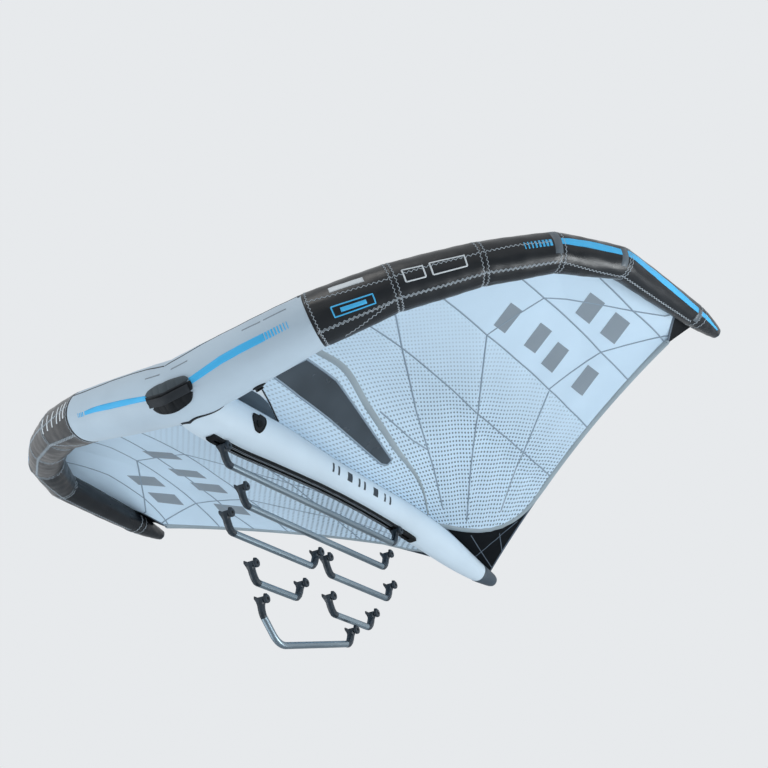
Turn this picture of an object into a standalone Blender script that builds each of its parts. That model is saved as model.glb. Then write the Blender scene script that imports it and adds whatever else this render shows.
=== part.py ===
"""Inflatable wing for wing foiling, with its boom and six spare handles.

Metres, +Z up.  The leading edge faces -Y, the strut runs back along +Y and the span lies
along X.  Places are written from the middle of the leading-edge tube, and one empty carries
everything so that the middle of the boom's grip is the world origin.
"""
import math

import bmesh
import bpy
import numpy as np
from mathutils import Matrix, Vector

NAME = "wing"

# Leading edge, from the middle to the right tip
HALF_SPAN = 1.45
SWEEP = 1.579
RISE = 0.337
LE_RADIUS = 0.116
le_x_shares = (0.0, 0.353, 0.525, 0.698, 0.842, 0.942, 0.990, 1.0)
le_y_shares = (0.0, 0.050, 0.124, 0.239, 0.362, 0.521, 0.887, 1.0)
le_z_shares = (0.0, 0.332, 0.564, 0.789, 0.950, 0.997, 1.0, 1.0)
le_radius_shares = (1.0, 0.855, 0.748, 0.678, 0.624, 0.518, 0.397, 0.216)
LE_SIDES = 24
SEAM_MID = 1
SEAM_TIP = 4
TIP_CAP_DEPTH = 0.014

# Fabric and bladders
CLOTH = 0.0006
SEAM_GAP = 0.0005
CORNER_GAP = 0.002
FIT_GAP = 0.0003
CUT_OVERRUN = 0.03
BLADDER_WALL = 0.0002
BLADDER_INSET = 0.0015
BLADDER_SIDES = 12

# Strut with its tail cap: places along it, drop of its axis and radius there
STRUT_LENGTH = 2.22
STRUT_RADIUS = 0.092
STRUT_DROP = 0.156
strut_y_shares = (0.0, 0.050, 0.113, 0.248, 0.383, 0.518, 0.653, 0.788, 0.932, 1.0)
strut_drop_shares = (0.19, 0.25, 0.27, 0.245, 0.275, 0.335, 0.437, 0.66, 0.942, 1.0)
strut_radius_shares = (0.89, 0.98, 1.0, 0.913, 0.761, 0.717, 0.761, 0.739, 0.478, 0.315)
STRUT_SIDES = 24
STRUT_RINGS = 14
CASING_END_SHARE = 0.932
BLADDER_START_SHARE = 0.075
TAIL_WALL = 0.0015
tail_ring_shares = (0.0, 0.35, 0.7, 0.93, 1.0)
TAIL_ROUND_SHARE = 0.8
STRUT_COVER_GAP = 0.0015
COVER_START_SHARE = 0.06

# Canopy: where it is sewn to the tube, its trailing edge and its camber
SEW_ANGLE = math.radians(60)
TAIL_BACK = 2.20
KNEE_OUT = 0.428
KNEE_BACK = 1.985
KNEE_UP = 0.092
CORNER_OUT = 1.29
CORNER_BACK = 1.444
CORNER_UP = 0.288
TIP_IN = 0.012
TIP_BACK = 0.016
KNEE_SHARE = 0.19
CORNER_SHARE = 0.90
TIP_SHARE = 0.965
SCALLOP = 0.018
TRAIL_ARCH = 0.018
CAMBER_SHARE = 0.055
BILLOW_SHARE = 0.16
TAPE_WIDTH = 0.024
TAPE_AT_STRUT_SHARE = 0.76
TAPE_TURN_POWER = 2.7
CHORD_STEPS = 11
CLOSING_STEPS = 4
TIP_STEPS = 2
CLOSING_END_SHARE = 0.93
INNER_STEP_SHARE = 0.022
OUTER_STEP_SHARE = 0.07

# Window, seen from above, on the right half
WINDOW_OUT = 0.093
WINDOW_WIDTH = 0.187
WINDOW_FRONT = 0.16
WINDOW_LENGTH = 1.03
window_shares = ((0.41, 0.0), (1.0, 0.02), (0.925, 0.223), (0.845, 0.437), (0.18, 1.0),
                 (0.05, 1.0), (0.0, 0.965))

# Rail under the strut: a channel with a toothed strip on the roof of its slot
RAIL_FRONT = 0.155
RAIL_BACK = 1.47
RAIL_WIDTH = 0.038
SLOT_MOUTH = 0.011
SLOT_WIDTH = 0.017
LIP = 0.0025
HEAD_ROOM = 0.0045
WEB = 0.0012
RACK_WIDTH = 0.012
RACK_BASE = 0.001
TOOTH = 0.0016
TOOTH_COUNT = 60
NOSE_LENGTH = 0.025
TAIL_LENGTH = 0.040
nose_shares = ((0.0, 1.0, 0.0, 1.0), (0.6, 1.0, 0.0, 1.0), (1.0, 0.92, 0.35, 0.95))
tail_shares = ((0.0, 1.0, 0.0, 1.0), (0.55, 0.98, 0.0, 1.0), (0.85, 0.88, 0.1, 0.95),
               (1.0, 0.62, 0.2, 0.8))

# Boom and spare handles
TUBE_RADIUS = 0.0125
TUBE_WALL = 0.0015
TUBE_SIDES = 16
SPIGOT_LENGTH = 0.022
POST_HEIGHT = 0.066
POST_SIDES = 8
POST_SQUARE = 0.45
ARCH_GAP = 0.001
BOOM_FRONT = 0.245
BOOM_BACK = 1.318
NUT_LENGTH = 0.014
NUT_PLAY = 0.001

# Post: shares of its height outwards and upwards from the tube's end, then its half width
# across the wing and its half depth in shares of the tube's radius
post_shares = (
    (0.06, 0.00, 1.04, 1.04),
    (0.22, 0.04, 1.03, 1.05),
    (0.38, 0.20, 1.00, 1.02),
    (0.50, 0.42, 0.96, 0.98),
    (0.58, 0.64, 0.98, 0.96),
    (0.63, 0.82, 1.40, 1.05),
    (0.655, 1.00, 2.05, 1.15),
    (0.66, 1.16, 2.30, 0.80),
)
upright_shares = (
    (0.05, 0.07, 1.04, 1.04),
    (0.12, 0.22, 1.00, 1.00),
    (0.16, 0.40, 0.96, 0.98),
    (0.18, 0.62, 0.98, 0.96),
    (0.18, 0.82, 1.40, 1.05),
    (0.18, 1.00, 2.05, 1.15),
    (0.18, 1.16, 2.30, 0.80),
)

# Straight spare handles: tube's front and rear end in shares of the boom's length from its
# front end, and depth in shares of the lowest one's
SPARE_DEPTH = 0.63
spare_shares = {
    "long_handle": (0.086, 0.908, 0.540),
    "upper_handle": (-0.005, 0.423, 0.746),
    "rear_handle": (0.560, 0.907, 0.753),
    "short_handle": (0.113, 0.311, 0.988),
    "low_handle": (0.558, 0.756, 1.0),
}

# Bent spare handle: front end of its tube, then the bend and the rear end from there
BENT_FRONT = 0.382
BENT_BELOW = 0.112
BENT_LENGTH = 0.513
BENT_DROP = 0.083
bent_shares = ((0.0, 0.0), (0.098, 0.68), (0.136, 0.92), (0.185, 0.99), (1.0, -0.12))

# Valves: one on the leading edge beside the strut, one on the strut's right side
VALVE_FLANGE = 0.020
VALVE_COLLAR = 0.0145
VALVE_STEM = 0.0115
VALVE_BORE = 0.009
FLANGE_THICKNESS = 0.003
COLLAR_HEIGHT = 0.012
STEM_DEPTH = 0.010
CAP_RADIUS = 0.0155
CAP_THICKNESS = 0.0035
CAP_CHAMFER = 0.001
HINGE_REACH = 0.0025
TURN_STEPS = 18
LE_VALVE_OUT = 0.235
LE_VALVE_ANGLE = math.radians(-48)
STRUT_VALVE_BACK = 0.303
STRUT_VALVE_ANGLE = math.radians(97.5)
COVER_WIDTH = 0.072
COVER_HEIGHT = 0.070
COVER_THICKNESS = 0.0035
cover_shares = ((0.0, -0.5), (0.2, -0.36), (0.4, -0.1), (0.5, 0.16), (0.45, 0.38), (0.28, 0.5),
                (0.1, 0.46), (0.0, 0.36))

# Pad and strap on the front of the leading edge
PAD_ANGLE = math.radians(220)
PAD_HALF_WIDTH = 0.098
PAD_HALF_HEIGHT = 0.054
PAD_SQUARE = 0.8
PAD_THICKNESS = 0.005
STRAP_HALF_LENGTH = 0.084
STRAP_WIDTH = 0.030
STRAP_THICKNESS = 0.0025
STRAP_RISE = 0.026
STRAP_STEPS = 12


def vec(*values):
    return np.array(values, dtype=float)


def unit(v):
    return v / np.linalg.norm(v)


def smooth_curve(at, knots, values):
    """Cubic through the values at the knots, with slopes taken from their neighbours."""
    slopes = np.gradient(np.array(values, dtype=float), np.array(knots, dtype=float))
    i = min(max(np.searchsorted(knots, at) - 1, 0), len(knots) - 2)
    span = knots[i + 1] - knots[i]
    u = (at - knots[i]) / span
    h = (2 * u**3 - 3 * u**2 + 1, u**3 - 2 * u**2 + u, -2 * u**3 + 3 * u**2, u**3 - u**2)
    return (h[0] * values[i] + h[1] * span * slopes[i]
            + h[2] * values[i + 1] + h[3] * span * slopes[i + 1])


# Scene, materials and helpers that every piece uses

for old in list(bpy.data.objects):
    bpy.data.objects.remove(old, do_unlink=True)
parts = bpy.data.collections.new(NAME)
cutters = bpy.data.collections.new("cutters")
bpy.context.scene.collection.children.link(parts)
bpy.context.scene.collection.children.link(cutters)

origin = bpy.data.objects.new("wing_origin", None)
parts.objects.link(origin)

finishes = {
    "white_cloth": ((0.62, 0.70, 0.76), 0.55, 0.0),
    "black_cloth": ((0.02, 0.022, 0.025), 0.6, 0.0),
    "canopy": ((0.60, 0.71, 0.80), 0.5, 0.0),
    "tape": ((0.30, 0.35, 0.40), 0.5, 0.0),
    "window": ((0.06, 0.07, 0.08), 0.25, 0.0),
    "dark_grey": ((0.05, 0.07, 0.09), 0.5, 0.0),
    "bladder": ((0.75, 0.78, 0.80), 0.35, 0.0),
    "hard_black": ((0.015, 0.016, 0.018), 0.4, 0.0),
    "webbing": ((0.02, 0.02, 0.022), 0.8, 0.0),
    "metal": ((0.33, 0.40, 0.46), 0.32, 1.0),
    "steel": ((0.5, 0.5, 0.52), 0.3, 1.0),
}


def dress(obj, finish, parent=origin, angle=math.radians(35)):
    """Give a piece its own material, its parent and smooth shading, and file it."""
    colour, roughness, metallic = finishes[finish]
    material = bpy.data.materials.new(obj.name)
    material.use_nodes = True
    shader = material.node_tree.nodes["Principled BSDF"]
    shader.inputs["Base Color"].default_value = (*colour, 1.0)
    shader.inputs["Roughness"].default_value = roughness
    shader.inputs["Metallic"].default_value = metallic
    obj.data.materials.append(material)
    obj.parent = parent
    if parent is not origin:
        obj.matrix_parent_inverse = Matrix.Translation(-parent.location)
    parts.objects.link(obj)
    obj.data.shade_smooth()
    obj.data.set_sharp_from_angle(angle=angle)
    return obj


def joint_axis(name, spot):
    """Empty on a joint's axis, for the pieces that move about it or along it."""
    empty = bpy.data.objects.new(name, None)
    empty.location = Vector(spot)
    empty.parent = origin
    parts.objects.link(empty)
    return empty


def place(obj, spot, outward, along):
    """Put a piece at a spot with its Z outwards and its X along."""
    z = Vector(unit(outward))
    x = (Vector(along) - Vector(along).dot(z) * z).normalized()
    y = z.cross(x)
    obj.matrix_basis = Matrix.Translation(Vector(spot)) @ Matrix((x, y, z)).transposed().to_4x4()
    return obj


def cutter(obj):
    obj.parent = origin
    cutters.objects.link(obj)
    obj.hide_render = True
    obj.display_type = "WIRE"
    return obj


def cut(obj, tool, operation="DIFFERENCE"):
    modifier = obj.modifiers.new(tool.name, "BOOLEAN")
    modifier.object = tool
    modifier.operation = operation
    modifier.solver = "EXACT"


def thicken(obj, wall, offset=-1.0):
    modifier = obj.modifiers.new("wall", "SOLIDIFY")
    modifier.thickness = wall
    modifier.offset = offset
    modifier.use_even_offset = True


def mesh_object(name, bm):
    mesh = bpy.data.meshes.new(name)
    bm.normal_update()
    bm.to_mesh(mesh)
    bm.free()
    return bpy.data.objects.new(name, mesh)


def loft(name, rings, cap_start=False, cap_end=False):
    """Skin between rings of equal count that run anticlockwise about the way they advance."""
    bm = bmesh.new()
    rows = [[bm.verts.new(Vector(p)) for p in ring] for ring in rings]
    for a, b in zip(rows, rows[1:]):
        for i in range(len(a)):
            j = (i + 1) % len(a)
            bm.faces.new((a[i], a[j], b[j], b[i]))
    if cap_start:
        bm.faces.new(rows[0][::-1])
    if cap_end:
        bm.faces.new(rows[-1])
    return mesh_object(name, bm)


def turned(name, outline, closed):
    """Profile of radius and height, turned about Z; its outer side runs down."""
    bm = bmesh.new()
    verts = [bm.verts.new((r, 0.0, z)) for r, z in outline]
    for a, b in zip(verts, verts[1:] + verts[:1] if closed else verts[1:]):
        bm.edges.new((a, b))
    piece = mesh_object(name, bm)
    turn = piece.modifiers.new("turn", "SCREW")
    turn.steps = TURN_STEPS
    turn.render_steps = TURN_STEPS
    turn.use_merge_vertices = True
    turn.merge_threshold = FIT_GAP / 10
    return piece


def cylinder(name, radius, length, sides=TURN_STEPS, capped=True):
    bm = bmesh.new()
    bmesh.ops.create_cone(bm, cap_ends=capped, segments=sides, radius1=radius, radius2=radius,
                          depth=length)
    return mesh_object(name, bm)


# Leading edge

LAST = len(le_x_shares) - 1


def le_point(j):
    """Axis of the leading-edge tube at station j, from the left tip to the right one."""
    k = abs(j)
    x = math.copysign(HALF_SPAN * le_x_shares[k], j)
    return vec(x, SWEEP * le_y_shares[k], RISE * le_z_shares[k])


def le_radius(j):
    return LE_RADIUS * le_radius_shares[abs(j)]


def le_frame(j):
    """Normal of the mitre plane, rear and up in it, and the way and amount it stretches."""
    after = unit(le_point(j + 1) - le_point(j)) if j < LAST else None
    before = unit(le_point(j) - le_point(j - 1)) if j > -LAST else after
    if after is None:
        after = before
    normal = unit(before + after)
    up = unit(vec(0, 0, 1) - normal * normal[2])
    rear = np.cross(up, normal)
    lean = after - before
    size = np.linalg.norm(lean)
    way = lean / size if size > 0.0 else vec(0, 0, 0)
    return normal, rear, up, way, 1.0 / float(np.dot(normal, after))


def le_surface(j, angle, radius, shift=0.0):
    """Point on the tube at station j, at an angle from the rear up towards the top."""
    normal, rear, up, way, stretch = le_frame(j)
    spoke = math.cos(angle) * rear + math.sin(angle) * up
    spoke = spoke + (stretch - 1.0) * float(np.dot(spoke, way)) * way
    return le_point(j) + radius * spoke + normal * shift


def le_ring(j, radius, shift=0.0):
    turns = np.linspace(0.0, 2.0 * math.pi, LE_SIDES, endpoint=False)
    return [le_surface(j, a, radius, shift) for a in turns]


def le_rings(first, last, inset, end_gap):
    rings = []
    for j in range(first, last + 1):
        shift = end_gap if j == first else -end_gap if j == last else 0.0
        rings.append(le_ring(j, le_radius(j) - inset, shift))
    return rings


def le_casing(name, first, last, finish):
    casing = loft(name, le_rings(first, last, 0.0, SEAM_GAP / 2))
    thicken(casing, CLOTH)
    return dress(casing, finish)


def le_bladder():
    """Thin air bag that follows the tube from tip to tip, closed at both ends."""
    turns = np.linspace(0.0, 2.0 * math.pi, BLADDER_SIDES, endpoint=False)
    rings = []
    for j in range(-LAST, LAST + 1):
        shift = BLADDER_INSET if j == -LAST else -BLADDER_INSET if j == LAST else 0.0
        rings.append([le_surface(j, a, le_radius(j) - BLADDER_INSET, shift) for a in turns])
    bag = loft("le_bladder", rings, True, True)
    thicken(bag, BLADDER_WALL)
    return bag


def le_between(x, angle, radius_gap=0.0):
    """Point on the centre casing at a span place, its outward direction and its line there."""
    side = math.copysign(1.0, x)
    low = le_surface(0, angle, le_radius(0) + radius_gap)
    high = le_surface(SEAM_MID, angle, le_radius(SEAM_MID) + radius_gap)
    u = abs(x) / high[0]
    axis = (1 - u) * le_point(0) + u * le_point(SEAM_MID)
    spot = (1 - u) * low + u * high
    along = unit(high - low)
    out = spot - axis
    out = unit(out - along * float(np.dot(out, along)))
    mirror = vec(side, 1, 1)
    return spot * mirror, out * mirror, along * mirror


def tip_cap(name, side):
    j = LAST * side
    radius = le_radius(j)
    outward = SEAM_GAP / 2 + FIT_GAP
    steps = ((1.0, 0.0), (0.96, 0.4), (0.80, 0.75), (0.50, 1.0))
    rings = [le_ring(j, radius * share, side * (outward + TIP_CAP_DEPTH * deep))
             for share, deep in steps]
    if side < 0:
        rings = rings[::-1]
    return dress(loft(name, rings, True, True), "dark_grey")


# Strut

def strut_z(y):
    return -STRUT_DROP * smooth_curve(y / STRUT_LENGTH, strut_y_shares, strut_drop_shares)


def strut_r(y):
    return STRUT_RADIUS * smooth_curve(y / STRUT_LENGTH, strut_y_shares, strut_radius_shares)


casing_end = STRUT_LENGTH * CASING_END_SHARE
strut_places = np.linspace(0.0, casing_end, STRUT_RINGS)
strut_bellies = [strut_z(y) - strut_r(y) for y in strut_places]


def strut_belly(y):
    return float(np.interp(y, strut_places, strut_bellies))


def strut_slope(y):
    step = POST_HEIGHT / 4
    return (strut_belly(y + step) - strut_belly(y - step)) / (2 * step)


def round_ring(y, z, radius, sides):
    turns = np.linspace(0.0, 2.0 * math.pi, sides, endpoint=False)
    return [vec(radius * math.sin(a), y, z + radius * math.cos(a)) for a in turns]


def strut_rings(places, inset, sides=STRUT_SIDES):
    return [round_ring(y, strut_z(y), strut_r(y) - inset, sides) for y in places]


def strut_tail():
    """Cup that closes the rear end of the strut."""
    start = casing_end + FIT_GAP
    rings = []
    for share in tail_ring_shares:
        y = start + (STRUT_LENGTH - start) * share
        radius = strut_r(y) * (TAIL_ROUND_SHARE if share == 1.0 else 1.0)
        rings.append(round_ring(y, strut_z(y), radius, STRUT_SIDES))
    cup = loft("strut_tail_cap", rings, False, True)
    thicken(cup, TAIL_WALL)
    return dress(cup, "dark_grey")


def strut_bladder():
    start = STRUT_LENGTH * BLADDER_START_SHARE
    places = [start] + [y for y in strut_places[:-1] if y > start] + [casing_end - BLADDER_INSET]
    bag = loft("strut_bladder", strut_rings(places, BLADDER_INSET, BLADDER_SIDES), True, True)
    thicken(bag, BLADDER_WALL)
    return bag


# Canopy

sew_points = [le_surface(k, SEW_ANGLE, le_radius(k) + FIT_GAP + CLOTH / 2)
              for k in range(LAST + 1)]
edge_lengths = [float(np.linalg.norm(le_point(k + 1) - le_point(k))) for k in range(LAST)]
station_shares = np.concatenate(([0.0], np.cumsum(edge_lengths))) / sum(edge_lengths)


def sew_point(s):
    return vec(*(np.interp(s, station_shares, [p[i] for p in sew_points]) for i in range(3)))


def strut_cover(y):
    y = min(y, STRUT_LENGTH)
    return strut_z(y) + strut_r(y) + STRUT_COVER_GAP + CLOTH / 2


def trail_point(s):
    """Trailing edge: tail, knee, corner and tip, drawn in a little between them."""
    knots = (0.0, KNEE_SHARE, CORNER_SHARE, TIP_SHARE)
    tail = vec(0.0, TAIL_BACK, strut_cover(TAIL_BACK))
    knee = vec(KNEE_OUT, KNEE_BACK, KNEE_UP)
    corner = vec(CORNER_OUT, CORNER_BACK, CORNER_UP)
    spots = (tail, knee, corner, sew_point(TIP_SHARE) + vec(-TIP_IN, TIP_BACK, 0.0))
    i = min(max(int(np.searchsorted(knots, s)) - 1, 0), len(knots) - 2)
    u = (s - knots[i]) / (knots[i + 1] - knots[i])
    run = spots[i + 1] - spots[i]
    inward = unit(np.cross(run, vec(0, 0, 1)))
    if inward[1] > 0.0:
        inward = -inward
    bow = min(float(np.linalg.norm(run)) / HALF_SPAN, 1.0) * 4.0 * u * (1.0 - u)
    arch = TRAIL_ARCH if i == 1 else 0.0
    return spots[i] + run * u + inward * SCALLOP * bow + vec(0.0, 0.0, arch * bow)


def chord(s):
    return float(np.linalg.norm(trail_point(s) - sew_point(s)))


def canopy_point(s, t):
    """Underside-to-top middle of the cloth, from the tube (t 0) to the trailing edge (t 1)."""
    front = sew_point(s)
    spot = front + (trail_point(s) - front) * t
    centre = sew_point(0.0)
    centre = centre + (trail_point(0.0) - centre) * t
    ease = (strut_cover(centre[1]) - centre[2]) * min(t / COVER_START_SHARE, 1.0)
    fill = min(s / BILLOW_SHARE, 1.0)
    fill = fill * fill * (3.0 - 2.0 * fill)
    camber = CAMBER_SHARE * chord(s) * math.sin(math.pi * t**0.75)
    spot[2] += (1.0 - fill) * ease + fill * camber
    spot[0] += SEAM_GAP / 2
    return spot


def turn_share(s):
    """How far back the tape runs: on the trailing edge, and before the knee in to the strut."""
    if s >= KNEE_SHARE:
        return 1.0
    turn = 1.0 - (1.0 - s / KNEE_SHARE) ** TAPE_TURN_POWER
    return TAPE_AT_STRUT_SHARE + (1.0 - TAPE_AT_STRUT_SHARE) * turn


def tape_inner(s):
    return turn_share(s) - TAPE_WIDTH / chord(s)


def span_samples(start, end):
    """Span places at the seams of the tube, closer before the knee than past it."""
    knots = [start, end, KNEE_SHARE * CLOSING_END_SHARE, KNEE_SHARE]
    knots = sorted({float(k) for k in knots + list(station_shares) if start <= k <= end})
    samples = [knots[0]]
    for a, b in zip(knots, knots[1:]):
        step = INNER_STEP_SHARE if b <= KNEE_SHARE else OUTER_STEP_SHARE
        samples += list(np.linspace(a, b, max(math.ceil((b - a) / step), 1) + 1)[1:])
    return samples


def panel(name, samples, low, high, steps, finish):
    """A piece of cloth between two lines that run along the span, on the right half."""
    bm = bmesh.new()
    bmesh.ops.create_grid(bm, x_segments=len(samples) - 1, y_segments=steps, size=1.0)
    places = np.arange(len(samples))
    for v in bm.verts:
        s = float(np.interp((v.co.x + 1.0) / 2.0 * (len(samples) - 1), places, samples))
        across = (v.co.y + 1.0) / 2.0
        start = low(s)
        v.co = Vector(canopy_point(s, start + (high(s) - start) * across))
    piece = mesh_object(name, bm)
    thicken(piece, CLOTH, 0.0)
    return dress(piece, finish)


def left_twin(piece, finish):
    """The same piece on the left half, mirrored after its cuts."""
    graph = bpy.context.evaluated_depsgraph_get()
    mesh = bpy.data.meshes.new_from_object(piece.evaluated_get(graph))
    mesh.transform(Matrix.Diagonal((-1.0, 1.0, 1.0, 1.0)))
    mesh.flip_normals()
    mesh.materials.clear()
    return dress(bpy.data.objects.new(piece.name.replace("right", "left"), mesh), finish)


def flat_outline(name, points, half_depth, middle):
    """Closed outline in X and Y, drawn as a filled curve and made a mesh."""
    curve = bpy.data.curves.new(name, "CURVE")
    curve.dimensions = "2D"
    curve.fill_mode = "BOTH"
    curve.extrude = half_depth
    line = curve.splines.new("POLY")
    line.points.add(len(points) - 1)
    for slot, (x, y) in zip(line.points, points):
        slot.co = (x, y, 0.0, 1.0)
    line.use_cyclic_u = True
    drawn = bpy.data.objects.new(name + "_curve", curve)
    bpy.context.scene.collection.objects.link(drawn)
    bpy.context.view_layer.update()
    graph = bpy.context.evaluated_depsgraph_get()
    mesh = bpy.data.meshes.new_from_object(drawn.evaluated_get(graph))
    bpy.data.objects.remove(drawn, do_unlink=True)
    bm = bmesh.new()
    bm.from_mesh(mesh)
    bmesh.ops.remove_doubles(bm, verts=bm.verts, dist=FIT_GAP / 10)
    bmesh.ops.recalc_face_normals(bm, faces=bm.faces)
    bm.to_mesh(mesh)
    bm.free()
    piece = bpy.data.objects.new(name, mesh)
    piece.location = Vector(middle)
    return piece


def grow_outline(points, amount):
    """The outline moved outwards by an amount, corner by corner."""
    spots = [vec(*p) for p in points]
    area = sum(a[0] * b[1] - a[1] * b[0] for a, b in zip(spots, spots[1:] + spots[:1]))
    grown = []
    for i, spot in enumerate(spots):
        into = unit(spot - spots[i - 1])
        out = unit(spots[(i + 1) % len(spots)] - spot)
        across = unit(vec(into[1] + out[1], -into[0] - out[0])) * math.copysign(1.0, area)
        reach = amount / max(float(np.dot(across, vec(out[1], -out[0]))) * math.copysign(1.0, area), 0.3)
        grown.append(tuple(spot + across * reach))
    return grown


def canopy():
    """Canopy, window, tape, closing panel and tip panel, and their twins on the left."""
    gap = SEAM_GAP
    outline = [(WINDOW_OUT + WINDOW_WIDTH * x, WINDOW_FRONT + WINDOW_LENGTH * y)
               for x, y in window_shares]
    hole = cutter(flat_outline("window_hole", grow_outline(outline, gap), RISE, (0, 0, 0)))
    pane = cutter(flat_outline("window_shape", outline, RISE, (0, 0, 0)))
    end = CORNER_SHARE - CORNER_GAP / sum(edge_lengths)
    samples = span_samples(0.0, end)
    inner = [s for s in samples if s <= station_shares[SEAM_MID]]
    closing = [s for s in samples if s <= KNEE_SHARE * CLOSING_END_SHARE]
    main = panel("canopy_right", samples, lambda s: 0.0,
                 lambda s: tape_inner(s) - gap / chord(s), CHORD_STEPS, "canopy")
    cut(main, hole)
    glass = panel("window_right", inner, lambda s: 0.0,
                  lambda s: tape_inner(s) - gap / chord(s), CHORD_STEPS, "window")
    cut(glass, pane, "INTERSECT")
    tape = panel("trailing_tape_right", samples, tape_inner, turn_share, 1, "tape")
    tail = panel("closing_panel_right", closing, lambda s: turn_share(s) + gap / chord(s),
                 lambda s: 1.0, CLOSING_STEPS, "black_cloth")
    tip = panel("tip_panel_right", span_samples(CORNER_SHARE, TIP_SHARE),
                lambda s: 0.0, lambda s: 1.0, TIP_STEPS, "black_cloth")
    bpy.context.view_layer.update()
    for piece, finish in ((main, "canopy"), (glass, "window"), (tape, "tape"),
                          (tail, "black_cloth"), (tip, "black_cloth")):
        left_twin(piece, finish)


# Rail

RACK_HEIGHT = RACK_BASE + TOOTH
SLOT_DEPTH = HEAD_ROOM + RACK_HEIGHT + FIT_GAP
RAIL_HEIGHT = LIP + SLOT_DEPTH + WEB


def rail_seat(y):
    return strut_belly(y) - FIT_GAP


def rail_section(y):
    """The channel's outline at a place: top that fits the strut, slot that opens downwards."""
    half = RAIL_WIDTH / 2
    mouth = SLOT_MOUTH / 2
    slot = SLOT_WIDTH / 2
    shelf = LIP - RAIL_HEIGHT
    roof = -WEB
    rise = half * math.tan(math.pi / STRUT_SIDES)
    outline = ((-half, rise), (0, 0), (half, rise), (half, -RAIL_HEIGHT),
               (mouth, -RAIL_HEIGHT), (mouth, shelf), (slot, shelf), (slot, roof),
               (-slot, roof), (-slot, shelf), (-mouth, shelf), (-mouth, -RAIL_HEIGHT),
               (-half, -RAIL_HEIGHT))
    return [vec(x, y, rail_seat(y) + z) for x, z in outline]


def rail_body():
    places = [RAIL_FRONT] + [y for y in strut_places if RAIL_FRONT < y < RAIL_BACK] + [RAIL_BACK]
    return dress(loft("rail_body", [rail_section(y) for y in places], True, True), "hard_black")


def tooth_drop(y):
    turn = (y - RAIL_FRONT) / (RAIL_BACK - RAIL_FRONT) * TOOTH_COUNT
    return TOOTH * (1.0 - abs(2.0 * (turn % 1.0) - 1.0))


def rail_rack():
    """Toothed strip on the roof of the slot."""
    half = RACK_WIDTH / 2
    places = list(np.linspace(RAIL_FRONT, RAIL_BACK, 2 * TOOTH_COUNT + 1))
    places += [y for y in strut_places if RAIL_FRONT < y < RAIL_BACK]
    rings = []
    for y in sorted(places):
        top = rail_seat(y) - WEB - FIT_GAP
        low = top - RACK_BASE - tooth_drop(y)
        rings.append([vec(-half, y, top), vec(half, y, top), vec(half, y, low),
                      vec(-half, y, low)])
    return dress(loft("rail_rack", rings, True, True), "hard_black")


def rail_end(name, face, way, length, shares):
    """Solid end of the rail, drawn out from its section to a point or a rounded toe."""
    rise = RAIL_WIDTH / 2 * math.tan(math.pi / STRUT_SIDES)
    rings = []
    for along, wide, top, low in shares:
        y = face + way * (FIT_GAP + along * length)
        seat = rail_seat(y)
        x = RAIL_WIDTH / 2 * wide
        deep = seat - RAIL_HEIGHT * low
        flat = seat - RAIL_HEIGHT * top
        rings.append([vec(-x, y, flat + rise * wide), vec(0, y, flat), vec(x, y, flat + rise * wide),
                      vec(x, y, deep), vec(-x, y, deep)])
    if way < 0:
        rings = rings[::-1]
    return dress(loft(name, rings, True, True), "hard_black")


# Boom, handles and their clamps

def straight_tube(name, front, back, finish, parent=origin):
    run = back - front
    tube = cylinder(name, TUBE_RADIUS, float(np.linalg.norm(run)), TUBE_SIDES, False)
    place(tube, (front + back) / 2, run, vec(1, 0, 0))
    thicken(tube, TUBE_WALL)
    return dress(tube, finish, parent)


def bent_tube(name, path, finish):
    rings = []
    turns = np.linspace(0.0, 2.0 * math.pi, TUBE_SIDES, endpoint=False)
    for i, spot in enumerate(path):
        way = unit(path[min(i + 1, len(path) - 1)] - path[max(i - 1, 0)])
        across = vec(1, 0, 0)
        up = np.cross(way, across)
        rings.append([spot + TUBE_RADIUS * (math.cos(a) * across + math.sin(a) * up)
                      for a in turns])
    tube = loft(name, rings)
    thicken(tube, TUBE_WALL)
    return dress(tube, finish)


def superellipse(half_x, half_y, angle, power):
    c, s = math.cos(angle), math.sin(angle)
    return (half_x * math.copysign(abs(c) ** power, c), half_y * math.copysign(abs(s) ** power, s))


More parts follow.
